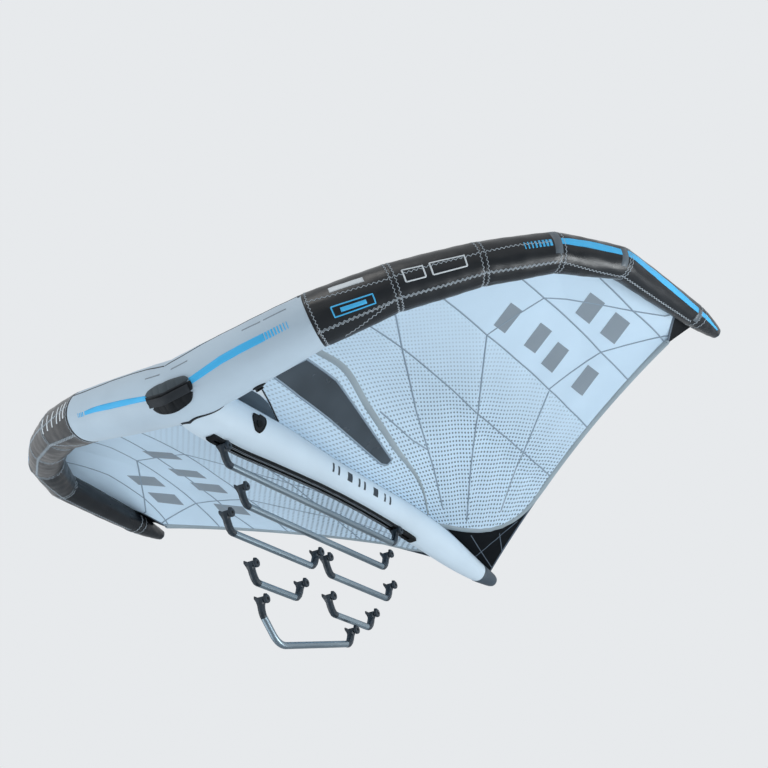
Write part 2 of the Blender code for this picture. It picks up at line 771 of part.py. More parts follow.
def post(name, end, heading, slope, shares=post_shares, parent=origin):
    """Moulded end of a handle: plug in the tube, elbow, neck and a fork that takes the rail.

    end is the tube's end and heading the way its tube runs from there.
    """
    turns = np.linspace(0.0, 2.0 * math.pi, POST_SIDES, endpoint=False)
    plug = TUBE_RADIUS - TUBE_WALL - FIT_GAP
    side = -math.copysign(1.0, heading[1])
    rings = []

    def ring(spot, normal, half_x, half_y, power):
        across = vec(1, 0, 0)
        up = np.cross(normal, across)
        points = [superellipse(half_x, half_y, a, power) for a in turns]
        rings.append([spot + x * across + y * up for x, y in points])

    ring(end + heading * SPIGOT_LENGTH, -heading, plug, plug, 1.0)
    ring(end - heading * FIT_GAP, -heading, plug, plug, 1.0)
    ring(end - heading * 2 * FIT_GAP, -heading, TUBE_RADIUS, TUBE_RADIUS, 1.0)
    spots = [end + vec(0, side * out * POST_HEIGHT, rise * POST_HEIGHT)
             for out, rise, wide, deep in shares]
    for i, (out, rise, wide, deep) in enumerate(shares):
        ahead = spots[min(i + 1, len(spots) - 1)]
        behind = spots[i - 1] if i else end
        power = 1.0 - POST_SQUARE * min(i / 3.0, 1.0)
        ring(spots[i], unit(ahead - behind), wide * TUBE_RADIUS, deep * TUBE_RADIUS, power)
    body = loft(name, rings, True, True)
    seat = end + vec(0, side * shares[-2][0] * POST_HEIGHT, POST_HEIGHT)
    groove = bmesh.new()
    bmesh.ops.create_cube(groove, size=1.0)
    size = (RAIL_WIDTH + 2 * FIT_GAP, 2 * POST_HEIGHT, CUT_OVERRUN)
    bmesh.ops.scale(groove, verts=groove.verts, vec=size)
    bmesh.ops.translate(groove, verts=groove.verts, vec=(0.0, 0.0, CUT_OVERRUN / 2))
    channel = mesh_object(name + "_groove", groove)
    channel.rotation_euler = (math.atan(slope), 0.0, 0.0)
    channel.location = Vector(seat)
    cut(body, cutter(channel))
    return dress(body, "hard_black", parent)


def foot_seat(y):
    """Height of the floor of a post's groove where it hangs on the rail."""
    return rail_seat(y) - RAIL_HEIGHT - ARCH_GAP


def t_nut(name, y, parent):
    """Nut in the rail's slot, with a neck that reaches down to the floor of the groove."""
    head = SLOT_WIDTH / 2 - FIT_GAP
    neck = SLOT_MOUTH / 2 - FIT_GAP
    low = LIP - RAIL_HEIGHT + NUT_PLAY
    high = low + HEAD_ROOM - 2 * NUT_PLAY
    foot = foot_seat(y) - rail_seat(y) + FIT_GAP
    outline = ((-neck, foot), (neck, foot), (neck, low), (head, low), (head, high),
               (-head, high), (-head, low), (-neck, low))
    nut = flat_outline(name, outline, NUT_LENGTH / 2, (0.0, y, rail_seat(y)))
    nut.rotation_euler = (math.pi / 2 + math.atan(strut_slope(y)), 0.0, 0.0)
    return dress(nut, "steel", parent)


# Valves, pad and strap

def valve_base(name, spot, outward, along):
    profile = ((VALVE_COLLAR, COLLAR_HEIGHT), (VALVE_COLLAR, FLANGE_THICKNESS),
               (VALVE_FLANGE, FLANGE_THICKNESS), (VALVE_FLANGE, 0.0), (VALVE_STEM, 0.0),
               (VALVE_STEM, -STEM_DEPTH), (VALVE_BORE, -STEM_DEPTH), (VALVE_BORE, COLLAR_HEIGHT))
    return dress(place(turned(name, profile, True), spot, outward, along), "hard_black")


def valve_cap(name, spot, outward, along):
    """Round cap over a valve, on an axis beside its rim."""
    profile = ((0.0, CAP_THICKNESS), (CAP_RADIUS - CAP_CHAMFER, CAP_THICKNESS),
               (CAP_RADIUS, CAP_THICKNESS - CAP_CHAMFER), (CAP_RADIUS, 0.0), (0.0, 0.0))
    across = np.cross(outward, along)
    pivot = joint_axis(name + "_hinge", spot + unit(across) * (CAP_RADIUS + HINGE_REACH))
    return dress(place(turned(name, profile, False), spot, outward, along), "hard_black", pivot)


def strut_side(y, angle, gap):
    """Point beside the strut at an angle from its top, and the outward direction."""
    outward = vec(math.sin(angle), 0, math.cos(angle))
    flat = strut_r(y) * math.cos(math.pi / STRUT_SIDES)
    return vec(0, y, strut_z(y)) + outward * (flat + gap), outward


def sleeve(name, rings, wall):
    shell = loft(name, rings)
    thicken(shell, wall, 1.0)
    return shell


def front_pad():
    """Oval pad on the nose, cut from a sleeve round the tube."""
    pad = sleeve("front_handle_pad", [le_ring(j, le_radius(j) + FIT_GAP) for j in (-1, 0, 1)],
                 PAD_THICKNESS)
    turns = np.linspace(0.0, 2.0 * math.pi, 2 * TURN_STEPS, endpoint=False)
    edge = [(PAD_HALF_WIDTH * math.copysign(abs(math.cos(a)) ** PAD_SQUARE, math.cos(a)),
             PAD_HALF_HEIGHT * math.copysign(abs(math.sin(a)) ** PAD_SQUARE, math.sin(a)))
            for a in turns]
    oval = flat_outline("pad_shape", edge, LE_RADIUS / 2, (0, 0, 0))
    outward = le_between(FIT_GAP, PAD_ANGLE)[1] * vec(0, 1, 1)
    place(oval, unit(outward) * LE_RADIUS, outward, vec(1, 0, 0))
    cut(pad, cutter(oval), "INTERSECT")
    return dress(pad, "hard_black")


def front_strap():
    """Webbing that arches over the pad for a hand to hold."""
    bm = bmesh.new()
    bmesh.ops.create_grid(bm, x_segments=STRAP_STEPS, y_segments=1, size=1.0)
    for v in bm.verts:
        x = v.co.x * STRAP_HALF_LENGTH
        lift = STRAP_RISE * (1.0 - v.co.x**2) ** 2
        gap = 2 * FIT_GAP + PAD_THICKNESS + STRAP_THICKNESS / 2
        spot, outward, along = le_between(x if x else FIT_GAP, PAD_ANGLE, gap)
        spot[0] = x
        across = unit(np.cross(outward * vec(0, 1, 1), vec(1, 0, 0)))
        v.co = Vector(spot + unit(outward * vec(0, 1, 1)) * lift
                      + across * v.co.y * STRAP_WIDTH / 2)
    strap = mesh_object("front_grab_strap", bm)
    thicken(strap, STRAP_THICKNESS, 0.0)
    return dress(strap, "webbing")


# Assembly

front_foot = BOOM_FRONT - POST_HEIGHT * post_shares[-2][0]
back_foot = BOOM_BACK + POST_HEIGHT * post_shares[-2][0]
front_end = vec(0.0, BOOM_FRONT, foot_seat(front_foot) - POST_HEIGHT)
back_end = vec(0.0, BOOM_BACK, foot_seat(back_foot) - POST_HEIGHT)
GRIP = (front_end + back_end) / 2
origin.location = Vector(-GRIP)
slider = joint_axis("boom_slide_axis", GRIP)

casing = le_casing("le_casing_centre", -SEAM_MID, SEAM_MID, "white_cloth")
le_casing("le_casing_right_mid", SEAM_MID, SEAM_TIP, "black_cloth")
le_casing("le_casing_left_mid", -SEAM_TIP, -SEAM_MID, "black_cloth")
le_casing("le_casing_right_tip", SEAM_TIP, LAST, "black_cloth")
le_casing("le_casing_left_tip", -LAST, -SEAM_TIP, "black_cloth")
tip_cap("tip_cap_right", 1)
tip_cap("tip_cap_left", -1)
le_bag = le_bladder()

strut = loft("strut_casing", strut_rings(strut_places, 0.0))
thicken(strut, CLOTH)
le_block = [le_ring(j, le_radius(j) + FIT_GAP) for j in (-1, 0, 1)]
cut(strut, cutter(loft("le_clearance", le_block, True, True)))
strut_tail()
strut_bag = strut_bladder()

# Valve on the leading edge, its hole in the casing and in the bladder
valve_spot, valve_out, valve_along = le_between(LE_VALVE_OUT, LE_VALVE_ANGLE, FIT_GAP)
hole = place(cylinder("le_valve_hole", VALVE_STEM + FIT_GAP, 2 * CUT_OVERRUN), valve_spot,
             valve_out, valve_along)
cutter(hole)
cut(casing, hole)
cut(le_bag, hole)
dress(le_bag, "bladder")
valve_base("le_valve_base", valve_spot, valve_out, valve_along)
valve_cap("le_valve_cap", valve_spot + valve_out * (COLLAR_HEIGHT + FIT_GAP), valve_out,
          valve_along)

# Valve on the strut under its soft cover
cover_spot, cover_out = strut_side(STRUT_VALVE_BACK, STRUT_VALVE_ANGLE, FIT_GAP)
strut_hole = place(cylinder("strut_valve_hole", VALVE_STEM + FIT_GAP, 2 * CUT_OVERRUN),
                   cover_spot, cover_out, vec(0, 1, 0))
cutter(strut_hole)
cut(strut, strut_hole)
cut(strut_bag, strut_hole)
dress(strut, "white_cloth")
dress(strut_bag, "bladder")
around = [y for y in strut_places if abs(y - STRUT_VALVE_BACK) < 2 * COVER_WIDTH]
around_rings = [round_ring(y, strut_z(y), strut_r(y) + FIT_GAP, STRUT_SIDES) for y in around]
cover = sleeve("strut_valve_cover", around_rings, COVER_THICKNESS)
heart = [(x * COVER_WIDTH, y * COVER_HEIGHT) for x, y in cover_shares]
heart += [(-x, y) for x, y in heart[-2:0:-1]]
shape = flat_outline("cover_shape", heart, CUT_OVERRUN, (0, 0, 0))
cut(cover, cutter(place(shape, cover_spot, cover_out, vec(0, 1, 0))), "INTERSECT")
cut(cover, strut_hole)
dress(cover, "hard_black")
valve_cap("strut_valve_cap", cover_spot + cover_out * (COVER_THICKNESS + 2 * FIT_GAP), cover_out,
          vec(0, 1, 0))

canopy()

rail_body()
rail_rack()
rail_end("rail_nose", RAIL_FRONT, -1, NOSE_LENGTH, nose_shares)
rail_end("rail_tail", RAIL_BACK, 1, TAIL_LENGTH, tail_shares)

boom_way = unit(back_end - front_end)
straight_tube("boom_tube", front_end, back_end, "metal", slider)
post("boom_front_post", front_end, boom_way, strut_slope(front_foot), parent=slider)
post("boom_rear_post", back_end, -boom_way, strut_slope(back_foot), parent=slider)
t_nut("front_t_nut", front_foot, slider)
t_nut("rear_t_nut", back_foot, slider)

for word, (start, end, depth) in spare_shares.items():
    front = vec(0.0, BOOM_FRONT + (BOOM_BACK - BOOM_FRONT) * start, -SPARE_DEPTH * depth)
    back = vec(0.0, BOOM_FRONT + (BOOM_BACK - BOOM_FRONT) * end, -SPARE_DEPTH * depth)
    straight_tube(word + "_tube", front, back, "metal")
    post(word + "_front_post", front, vec(0, 1, 0), 0.0)
    post(word + "_rear_post", back, vec(0, -1, 0), 0.0)

bent = [vec(0.0, BENT_FRONT + BENT_LENGTH * along, -SPARE_DEPTH - BENT_BELOW - BENT_DROP * down)
        for along, down in bent_shares]
bent_tube("bent_handle_tube", bent, "metal")
post("bent_handle_front_post", bent[0], unit(bent[1] - bent[0]), 0.0, upright_shares)
post("bent_handle_rear_post", bent[-1], unit(bent[-2] - bent[-1]), 0.0)

front_pad()
front_strap()
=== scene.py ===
"""Inflatable wing for wing foiling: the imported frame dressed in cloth, seams, stitches and prints.

Metres, +Z up.  Places on the wing are written from the middle of the leading-edge tube, as in
the CAD source, and moved by GRIP so that the middle of the boom's grip is the world origin.
"""

import math

import bpy
import numpy as np
from mathutils import Matrix, Vector
from mathutils.geometry import delaunay_2d_cdt


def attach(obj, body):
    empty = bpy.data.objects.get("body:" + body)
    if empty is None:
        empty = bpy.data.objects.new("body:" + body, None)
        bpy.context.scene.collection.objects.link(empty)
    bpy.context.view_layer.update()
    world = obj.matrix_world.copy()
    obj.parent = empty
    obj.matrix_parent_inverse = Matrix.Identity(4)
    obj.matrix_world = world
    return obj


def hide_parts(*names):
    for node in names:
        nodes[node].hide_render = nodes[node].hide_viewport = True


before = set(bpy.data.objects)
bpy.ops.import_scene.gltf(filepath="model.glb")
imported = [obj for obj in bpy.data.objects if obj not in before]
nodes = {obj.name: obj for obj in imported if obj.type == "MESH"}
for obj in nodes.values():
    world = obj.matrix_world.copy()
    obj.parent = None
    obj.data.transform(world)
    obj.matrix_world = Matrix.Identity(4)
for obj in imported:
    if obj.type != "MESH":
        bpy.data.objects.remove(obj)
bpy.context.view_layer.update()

# Sizes of the CAD source
HALF_SPAN, SWEEP, RISE, LE_RADIUS = 1.45, 1.579, 0.337, 0.116
LE_X = (0.0, 0.353, 0.525, 0.698, 0.842, 0.942, 0.99, 1.0)
LE_Y = (0.0, 0.05, 0.124, 0.239, 0.362, 0.521, 0.887, 1.0)
LE_Z = (0.0, 0.332, 0.564, 0.789, 0.95, 0.997, 1.0, 1.0)
LE_R = (1.0, 0.855, 0.748, 0.678, 0.624, 0.518, 0.397, 0.216)
LAST, SEAM_MID, SEAM_TIP = 7, 1, 4
CLOTH, SEAM_GAP, FIT_GAP = 0.0006, 0.0005, 0.0003
STRUT_LENGTH, STRUT_RADIUS, STRUT_DROP = 2.22, 0.092, 0.156
STRUT_Y = (0.0, 0.05, 0.113, 0.248, 0.383, 0.518, 0.653, 0.788, 0.932, 1.0)
STRUT_Z = (0.19, 0.25, 0.27, 0.245, 0.275, 0.335, 0.437, 0.66, 0.942, 1.0)
STRUT_R = (0.89, 0.98, 1.0, 0.913, 0.761, 0.717, 0.761, 0.739, 0.478, 0.315)
CASING_END = STRUT_LENGTH * 0.932
SEW_ANGLE = math.radians(60)
TAIL_BACK = 2.2
KNEE = (0.428, 1.985, 0.092)
CORNER = (1.29, 1.444, 0.288)
TIP_IN, TIP_BACK = 0.012, 0.016
KNEE_SHARE, CORNER_SHARE, TIP_SHARE = 0.19, 0.9, 0.965
SCALLOP, TRAIL_ARCH, CAMBER_SHARE, BILLOW_SHARE = 0.018, 0.018, 0.055, 0.16
TAPE_WIDTH, TAPE_AT_STRUT, TAPE_TURN = 0.024, 0.76, 2.7
COVER_GAP, COVER_START = 0.0015, 0.06
CLOSING_END = KNEE_SHARE * 0.93
POST_HEIGHT, FOOT_OUT, BOOM_FRONT, BOOM_BACK = 0.066, 0.655, 0.245, 1.318
LIP, HEAD_ROOM, RACK_HEIGHT, WEB, ARCH_GAP = 0.0025, 0.0045, 0.0026, 0.0012, 0.001
RAIL_DEPTH = LIP + HEAD_ROOM + RACK_HEIGHT + FIT_GAP + WEB
TUBE_RADIUS, TUBE_WALL, SPARE_DEPTH = 0.0125, 0.0015, 0.63
STRAP_HALF, STRAP_RISE, STRAP_WIDTH = 0.084, 0.026, 0.03

# Sizes of the scene alone: heights of prints, and half a dot as shares of its column and row
PRINT, THIN_PRINT = 0.0009, 0.0007
DOT_HALVES = (0.27, 0.25)


def arr(*values):
    return np.array(values, dtype=float)


def unit(v):
    return v / np.maximum(np.linalg.norm(v, axis=-1, keepdims=True), 1e-12)


def ease(x, low, high):
    """0 below low, 1 above high, smooth between."""
    u = np.clip((x - low) / (high - low), 0.0, 1.0)
    return u * u * (3.0 - 2.0 * u)


def circle(count):
    return np.linspace(0.0, 2 * math.pi, count, endpoint=False)


# Strut surface

def smooth_curve(at, knots, values):
    knots, values = np.array(knots, float), np.array(values, float)
    slopes = np.gradient(values, knots)
    i = np.clip(np.searchsorted(knots, at) - 1, 0, len(knots) - 2)
    span = knots[i + 1] - knots[i]
    u = (at - knots[i]) / span
    return ((2 * u**3 - 3 * u**2 + 1) * values[i] + (u**3 - 2 * u**2 + u) * span * slopes[i]
            + (3 * u**2 - 2 * u**3) * values[i + 1] + (u**3 - u**2) * span * slopes[i + 1])


def strut_z(y):
    return -STRUT_DROP * smooth_curve(y / STRUT_LENGTH, STRUT_Y, STRUT_Z)


def strut_r(y):
    return STRUT_RADIUS * smooth_curve(y / STRUT_LENGTH, STRUT_Y, STRUT_R)


places = np.linspace(0.0, CASING_END, 14)
bellies = strut_z(places) - strut_r(places)


def rail_bottom(y):
    return float(np.interp(y, places, bellies)) - FIT_GAP - RAIL_DEPTH


def foot_height(y):
    return rail_bottom(y) - ARCH_GAP - POST_HEIGHT


boom_ends = [(arr(0, y, foot_height(y + POST_HEIGHT * out)), out)
             for y, out in ((BOOM_FRONT, -FOOT_OUT), (BOOM_BACK, FOOT_OUT))]
GRIP = (boom_ends[0][0] + boom_ends[1][0]) / 2


def strut_spot(y, angle, lift=0.0):
    """Points on the strut and their outward directions; the angle runs from the top to +X."""
    y, angle = np.broadcast_arrays(y, angle)
    out = np.stack([np.sin(angle), np.zeros_like(y), np.cos(angle)], -1)
    spot = np.stack([np.zeros_like(y), y, strut_z(y)], -1)
    return spot + out * (strut_r(y) + lift)[..., None], out


# Leading-edge surface

STATIONS = range(-LAST, LAST + 1)
AXIS = np.array([(math.copysign(HALF_SPAN * LE_X[abs(j)], j), SWEEP * LE_Y[abs(j)],
                  RISE * LE_Z[abs(j)]) for j in STATIONS])
RADII = np.array([LE_RADIUS * LE_R[abs(j)] for j in STATIONS])
RUNS = np.linalg.norm(np.diff(AXIS, axis=0), axis=1)
WAYS = unit(np.diff(AXIS, axis=0))
AFTER = np.vstack([WAYS, WAYS[-1:]])
BEFORE = np.vstack([WAYS[:1], WAYS])
NORMAL = unit(AFTER + BEFORE)
UP = unit(arr(0, 0, 1) - NORMAL * NORMAL[:, 2:3])
REAR = np.cross(UP, NORMAL)
LEAN = unit(AFTER - BEFORE) * (np.linalg.norm(AFTER - BEFORE, axis=1, keepdims=True) > 1e-9)
STRETCH = 1.0 / np.sum(NORMAL * AFTER, axis=1)


def ring_spot(k, angle):
    spoke = np.cos(angle)[..., None] * REAR[k] + np.sin(angle)[..., None] * UP[k]
    along = np.sum(spoke * LEAN[k], axis=-1, keepdims=True)
    spoke = spoke + (STRETCH[k] - 1.0)[..., None] * along * LEAN[k]
    return AXIS[k] + RADII[k][..., None] * spoke, along[..., 0]


def tube_spot(place, angle, lift=0.0):
    """Points and outward directions on the tube; the angle runs from the rear up to the top."""
    place, angle = np.broadcast_arrays(place, angle)
    k = np.clip(np.floor(place).astype(int) + LAST, 0, 2 * LAST - 1)
    u = place + LAST - k
    low, low_bend = ring_spot(k, angle)
    high, high_bend = ring_spot(k + 1, angle)
    spot = low + (high - low) * u[..., None]
    axis = AXIS[k] + (AXIS[k + 1] - AXIS[k]) * u[..., None]
    along = unit(high - low)
    out = spot - axis
    out = unit(out - along * np.sum(out * along, -1, keepdims=True))
    gap = np.minimum(u, 1.0 - u) * RUNS[k]
    near = np.where(u < 0.5, k, k + 1)
    bend = np.clip(np.where(u < 0.5, low_bend, high_bend), 0.0, 1.0)
    seam = np.where((near == 0) | (near == 2 * LAST), 0.0, 1.0)
    pinch = -0.0016 * np.exp(-(gap / 0.01) ** 2)
    pucker = np.sin(31.0 * angle + 2.6 * np.sin(5.0 * angle + 1.7 * near)) * np.exp(-gap / 0.03)
    pucker = pucker * (0.0004 + 0.002 * bend) * ease(gap, 0.0, 0.008)
    belly = 0.0022 * np.sin(math.pi * u)
    wave = 0.0007 * np.sin(9.0 * place + 4.0 * angle) * np.sin(23.0 * place - 3.0 * angle)
    return spot + out * (seam * (pinch + pucker) + belly + wave + lift)[..., None], out


# Canopy surface on the right half; the left half is its mirror image

sew_points = ring_spot(np.arange(LAST, 2 * LAST + 1), np.full(LAST + 1, SEW_ANGLE))[0]
sew_points += unit(sew_points - AXIS[LAST:]) * (FIT_GAP + CLOTH / 2)
station_shares = np.concatenate(([0.0], np.cumsum(RUNS[LAST:]))) / RUNS[LAST:].sum()


def sew_point(s):
    return np.stack([np.interp(s, station_shares, sew_points[:, i]) for i in range(3)], -1)


def strut_cover(y):
    y = np.minimum(y, STRUT_LENGTH)
    return strut_z(y) + strut_r(y) + COVER_GAP + CLOTH / 2


def trail_point(s):
    s = np.atleast_1d(s)
    knots = arr(0.0, KNEE_SHARE, CORNER_SHARE, TIP_SHARE)
    spots = np.array([(0.0, TAIL_BACK, float(strut_cover(TAIL_BACK))), KNEE, CORNER,
                      sew_point(TIP_SHARE) + arr(-TIP_IN, TIP_BACK, 0.0)])
    i = np.clip(np.searchsorted(knots, s) - 1, 0, 2)
    u = (s - knots[i]) / (knots[i + 1] - knots[i])
    run = spots[i + 1] - spots[i]
    inward = unit(np.cross(run, arr(0, 0, 1)))
    inward = np.where(inward[:, 1:2] > 0.0, -inward, inward)
    bow = np.minimum(np.linalg.norm(run, axis=1) / HALF_SPAN, 1.0) * 4.0 * u * (1.0 - u)
    point = spots[i] + run * u[:, None] + inward * (SCALLOP * bow)[:, None]
    point[:, 2] += np.where(i == 1, TRAIL_ARCH, 0.0) * bow
    return point


def chord(s):
    return np.linalg.norm(trail_point(s) - sew_point(np.atleast_1d(s)), axis=-1)


def cloth_plain(s, t):
    """Middle of the cloth as the source has it, from the tube (t 0) to the trailing edge."""
    s, t = np.broadcast_arrays(s, t)
    shape, s, t = s.shape, s.ravel(), t.ravel()
    front, back = sew_point(s), trail_point(s)
    spot = front + (back - front) * t[:, None]
    nose = sew_point(np.zeros(1))
    centre = nose + (trail_point(0.0) - nose) * t[:, None]
    over = (strut_cover(centre[:, 1]) - centre[:, 2]) * np.minimum(t / COVER_START, 1.0)
    fill = ease(s, 0.0, BILLOW_SHARE)
    camber = CAMBER_SHARE * np.linalg.norm(back - front, axis=1) * np.sin(
        math.pi * np.clip(t, 0, 1)**0.75)
    spot[:, 2] += (1.0 - fill) * over + fill * camber
    spot[:, 0] += SEAM_GAP / 2
    return spot.reshape(shape + (3,))


FAN_CENTRE = arr(-0.16, 2.25)


def fan_angle(spots):
    """Direction of a point from where the panels of the cloth would meet, in degrees."""
    return np.degrees(np.arctan2(spots[..., 0] - FAN_CENTRE[0], FAN_CENTRE[1] - spots[..., 1]))


def cloth_spot(s, t):
    """Middle of the cloth with the shallow ripples that its tension draws."""
    spot = cloth_plain(s, t)
    calm = ease(t, 0.2, 0.7) * ease(s, 0.02, 0.08) * (1.0 - ease(s, 0.5, 0.8))
    spot[..., 2] += 0.0016 * np.sin(fan_angle(spot) * 0.9) * calm * ease(0.985 - t, 0.0, 0.04)
    return spot


def cloth_normal(s, t):
    d = 5e-4
    return unit(np.cross(cloth_spot(s + d, t) - cloth_spot(s - d, t),
                         cloth_spot(s, t + d) - cloth_spot(s, t - d)))


def plan_path(line, step=0.01, closed=False):
    """Shares of span and chord along a line of thousandths, straight when seen from above."""
    line = np.array(line) / 1000
    line = np.vstack([line, line[:1]]) if closed else line
    knots = cloth_plain(line[:, 0], line[:, 1])[:, :2]
    goal, guess = [], []
    for a, b, low, high in zip(knots, knots[1:], line, line[1:]):
        count = max(int(np.linalg.norm(b - a) / step), 1)
        for u in np.arange(count) / count:
            goal.append(a + (b - a) * u)
            guess.append(low + (high - low) * u)
    if not closed:
        goal.append(knots[-1])
        guess.append(line[-1])
    goal, found = np.array(goal), np.array(guess)
    for _ in range(6):
        now = cloth_plain(found[:, 0], found[:, 1])[:, :2]
        d = 1e-4
        by_s = (cloth_plain(found[:, 0] + d, found[:, 1])[:, :2] - now) / d
        by_t = (cloth_plain(found[:, 0], found[:, 1] + d)[:, :2] - now) / d
        off = goal - now
        size = by_s[:, 0] * by_t[:, 1] - by_s[:, 1] * by_t[:, 0]
        found[:, 0] += (off[:, 0] * by_t[:, 1] - off[:, 1] * by_t[:, 0]) / size
        found[:, 1] += (by_s[:, 0] * off[:, 1] - by_s[:, 1] * off[:, 0]) / size
        found = np.clip(found, (0.001, 0.0), (CORNER_SHARE, 1.0))
    return found


def turn_share(s):
    turn = 1.0 - (1.0 - np.minimum(s / KNEE_SHARE, 1.0)) ** TAPE_TURN
    return TAPE_AT_STRUT + (1.0 - TAPE_AT_STRUT) * turn


def tape_inner(s):
    return turn_share(s) - TAPE_WIDTH / chord(s)


# Materials

def tint(red, green, blue):
    """Linear colour from the 0 to 255 values that a screen shows."""
    return tuple(c / 12.92 if c <= 0.04045 else ((c + 0.055) / 1.055) ** 2.4
                 for c in (red / 255, green / 255, blue / 255))


class Shader:
    """A Principled material with its nodes wired by short calls."""

    def __init__(self, name, rough, **sockets):
        self.material = bpy.data.materials.new(name)
        self.material.use_nodes = True
        self.tree = self.material.node_tree
        self.shader = self.tree.nodes["Principled BSDF"]
        for key, value in {"Roughness": rough, **sockets}.items():
            self.shader.inputs[key.replace("_", " ")].default_value = value
        self.where = self.node("ShaderNodeTexCoord").outputs["Object"]
        self.height = None

    def node(self, kind, inputs=None, **settings):
        made = self.tree.nodes.new(kind)
        for key, value in settings.items():
            setattr(made, key, value)
        for key, value in (inputs or {}).items():
            socket = made.inputs[key]
            if isinstance(value, bpy.types.NodeSocket):
                self.tree.links.new(value, socket)
            else:
                socket.default_value = value
        return made

    def math(self, operation, a, b=0.0):
        return self.node("ShaderNodeMath", {0: a, 1: b}, operation=operation).outputs[0]

    def noise(self, scale, detail):
        return self.node("ShaderNodeTexNoise", {"Vector": self.where, "Scale": scale,
                                                "Detail": detail}).outputs["Fac"]

    def weave(self, scale):
        """Threads that cross along X and Y."""
        x, y = [self.node("ShaderNodeTexWave", {"Vector": self.where, "Scale": scale},
                          bands_direction=axis).outputs["Fac"] for axis in "XY"]
        return self.math("MULTIPLY", x, y)

    def span(self, value, low, high, out_low=0.0, out_high=1.0):
        made = self.node("ShaderNodeMapRange", {"Value": value, "From Min": low, "From Max": high,
                                                "To Min": out_low, "To Max": out_high})
        return made.outputs["Result"]

    def mottle(self, scale, detail=3.0, low=0.0, high=1.0):
        """Soft patches between two values."""
        return self.span(self.noise(scale, detail), 0.3, 0.7, low, high)

    def blend(self, share, a, b):
        a, b = [(*c, 1.0) if isinstance(c, tuple) else c for c in (a, b)]
        return self.node("ShaderNodeMix", {0: share, 6: a, 7: b}, data_type="RGBA").outputs[2]

    def colour(self, output):
        self.tree.links.new(output, self.shader.inputs["Base Color"])

    def roughness(self, output):
        self.tree.links.new(output, self.shader.inputs["Roughness"])

    def bump(self, height, distance, strength):
        inputs = {"Height": height, "Distance": distance, "Strength": strength}
        if self.height:
            inputs["Normal"] = self.height
        self.height = self.node("ShaderNodeBump", inputs).outputs["Normal"]
        self.tree.links.new(self.height, self.shader.inputs["Normal"])


def shades(colour, *shares):
    return [tuple(c * share for c in tint(*colour)) for share in shares]


def fabric(name, colour, rough, weave=900.0, spread=0.12, crease=0.0012, **sockets):
    """Woven cloth: broad variation of colour, fine threads, soft creases."""
    made = Shader(name, rough, **sockets)
    made.colour(made.blend(made.mottle(3.1, 4.0), *shades(colour, 1.0 - spread, 1.0 + spread / 2)))
    made.roughness(made.mottle(17.0, low=rough - 0.06, high=rough + 0.08))
    made.bump(made.weave(weave), 0.0001, 0.35)
    made.bump(made.noise(14.0, 5.0), crease, 0.5)
    return made


def plastic(name, colour, rough, spread=0.25, **sockets):
    """Moulded plastic: fine grain and slight scuffs."""
    made = Shader(name, rough, **sockets)
    made.colour(made.blend(made.span(made.noise(40.0, 4.0), 0.35, 0.7),
                           *shades(colour, 1 - spread, 1 + spread)))
    made.roughness(made.mottle(90.0, low=rough - 0.07, high=rough + 0.1))
    made.bump(made.noise(1200.0, 2.0), 0.0001, 0.3)
    return made


looks = {
    "white": fabric("white_dacron", (206, 222, 234), 0.5, spread=0.06),
    # The strut's white dacron made darker for the leading edge's middle: painted shade
    "tube": fabric("tube_white_painted_shade", (190, 207, 220), 0.5, spread=0.09),
    "black": fabric("black_dacron", (13, 19, 25), 0.32, spread=0.3, crease=0.0016,
                    Specular_IOR_Level=0.45),
    "blue": fabric("blue_dacron", (72, 190, 246), 0.45, spread=0.1),
    "tape": fabric("grey_tape", (152, 166, 174), 0.6, spread=0.12),
    "seam": fabric("seam_tape", (138, 156, 172), 0.55, spread=0.1),
    "closing": fabric("closing_cloth", (9, 14, 20), 0.6, spread=0.3,
                      Specular_IOR_Level=0.12),
    "gusset": fabric("gusset_cloth", (65, 80, 92), 0.6, spread=0.2),
    "tail": fabric("tail_cloth", (66, 80, 92), 0.55, spread=0.25),
    "webbing": fabric("black_webbing", (30, 36, 42), 0.75, weave=420.0, spread=0.3),
    "thread": fabric("grey_thread", (176, 186, 194), 0.7, weave=2500.0),
    "dark_thread": fabric("dark_thread", (92, 106, 120), 0.7, weave=2500.0),
    "print_grey": fabric("grey_print", (136, 148, 158), 0.5, spread=0.08),
    "print_dark": fabric("dark_print", (40, 50, 60), 0.5, spread=0.15),
    "print_white": fabric("white_print", (222, 228, 232), 0.45, spread=0.06),
    "loop": fabric("loop_tape", (96, 106, 114), 0.4, spread=0.2),
    "bladder": plastic("bladder_film", (215, 218, 220), 0.35, spread=0.04),
    "plastic": plastic("black_plastic", (6, 9, 12), 0.5, Specular_IOR_Level=0.14),
    "post": plastic("post_plastic", (34, 46, 56), 0.4, Specular_IOR_Level=0.4),
    "rib": plastic("rib_plastic", (108, 118, 126), 0.45),
    "pad_light": fabric("pad_edge", (62, 72, 78), 0.6, weave=500.0, spread=0.2),
    "pad": fabric("pad_cloth", (14, 19, 24), 0.62, weave=500.0, spread=0.3,
                  Specular_IOR_Level=0.25),
    "nut": plastic("nut_steel", (150, 152, 155), 0.35, spread=0.1, Metallic=1.0),
}

film = looks["window"] = Shader("window_film", 0.22, Coat_Weight=0.3, Coat_Roughness=0.12)
film.colour(film.blend(film.mottle(3.0, 2.0), tint(30, 42, 50), tint(62, 74, 84)))
film.roughness(film.mottle(9.0, low=0.16, high=0.32))
film.bump(film.noise(3.0, 1.0), 0.002, 0.4)

metal = looks["metal"] = Shader("satin_tube", 0.34, Metallic=1.0)
metal.colour(metal.blend(metal.mottle(2.0, 2.0), tint(128, 143, 153), tint(146, 161, 170)))
metal.roughness(metal.mottle(6.0, low=0.3, high=0.4))

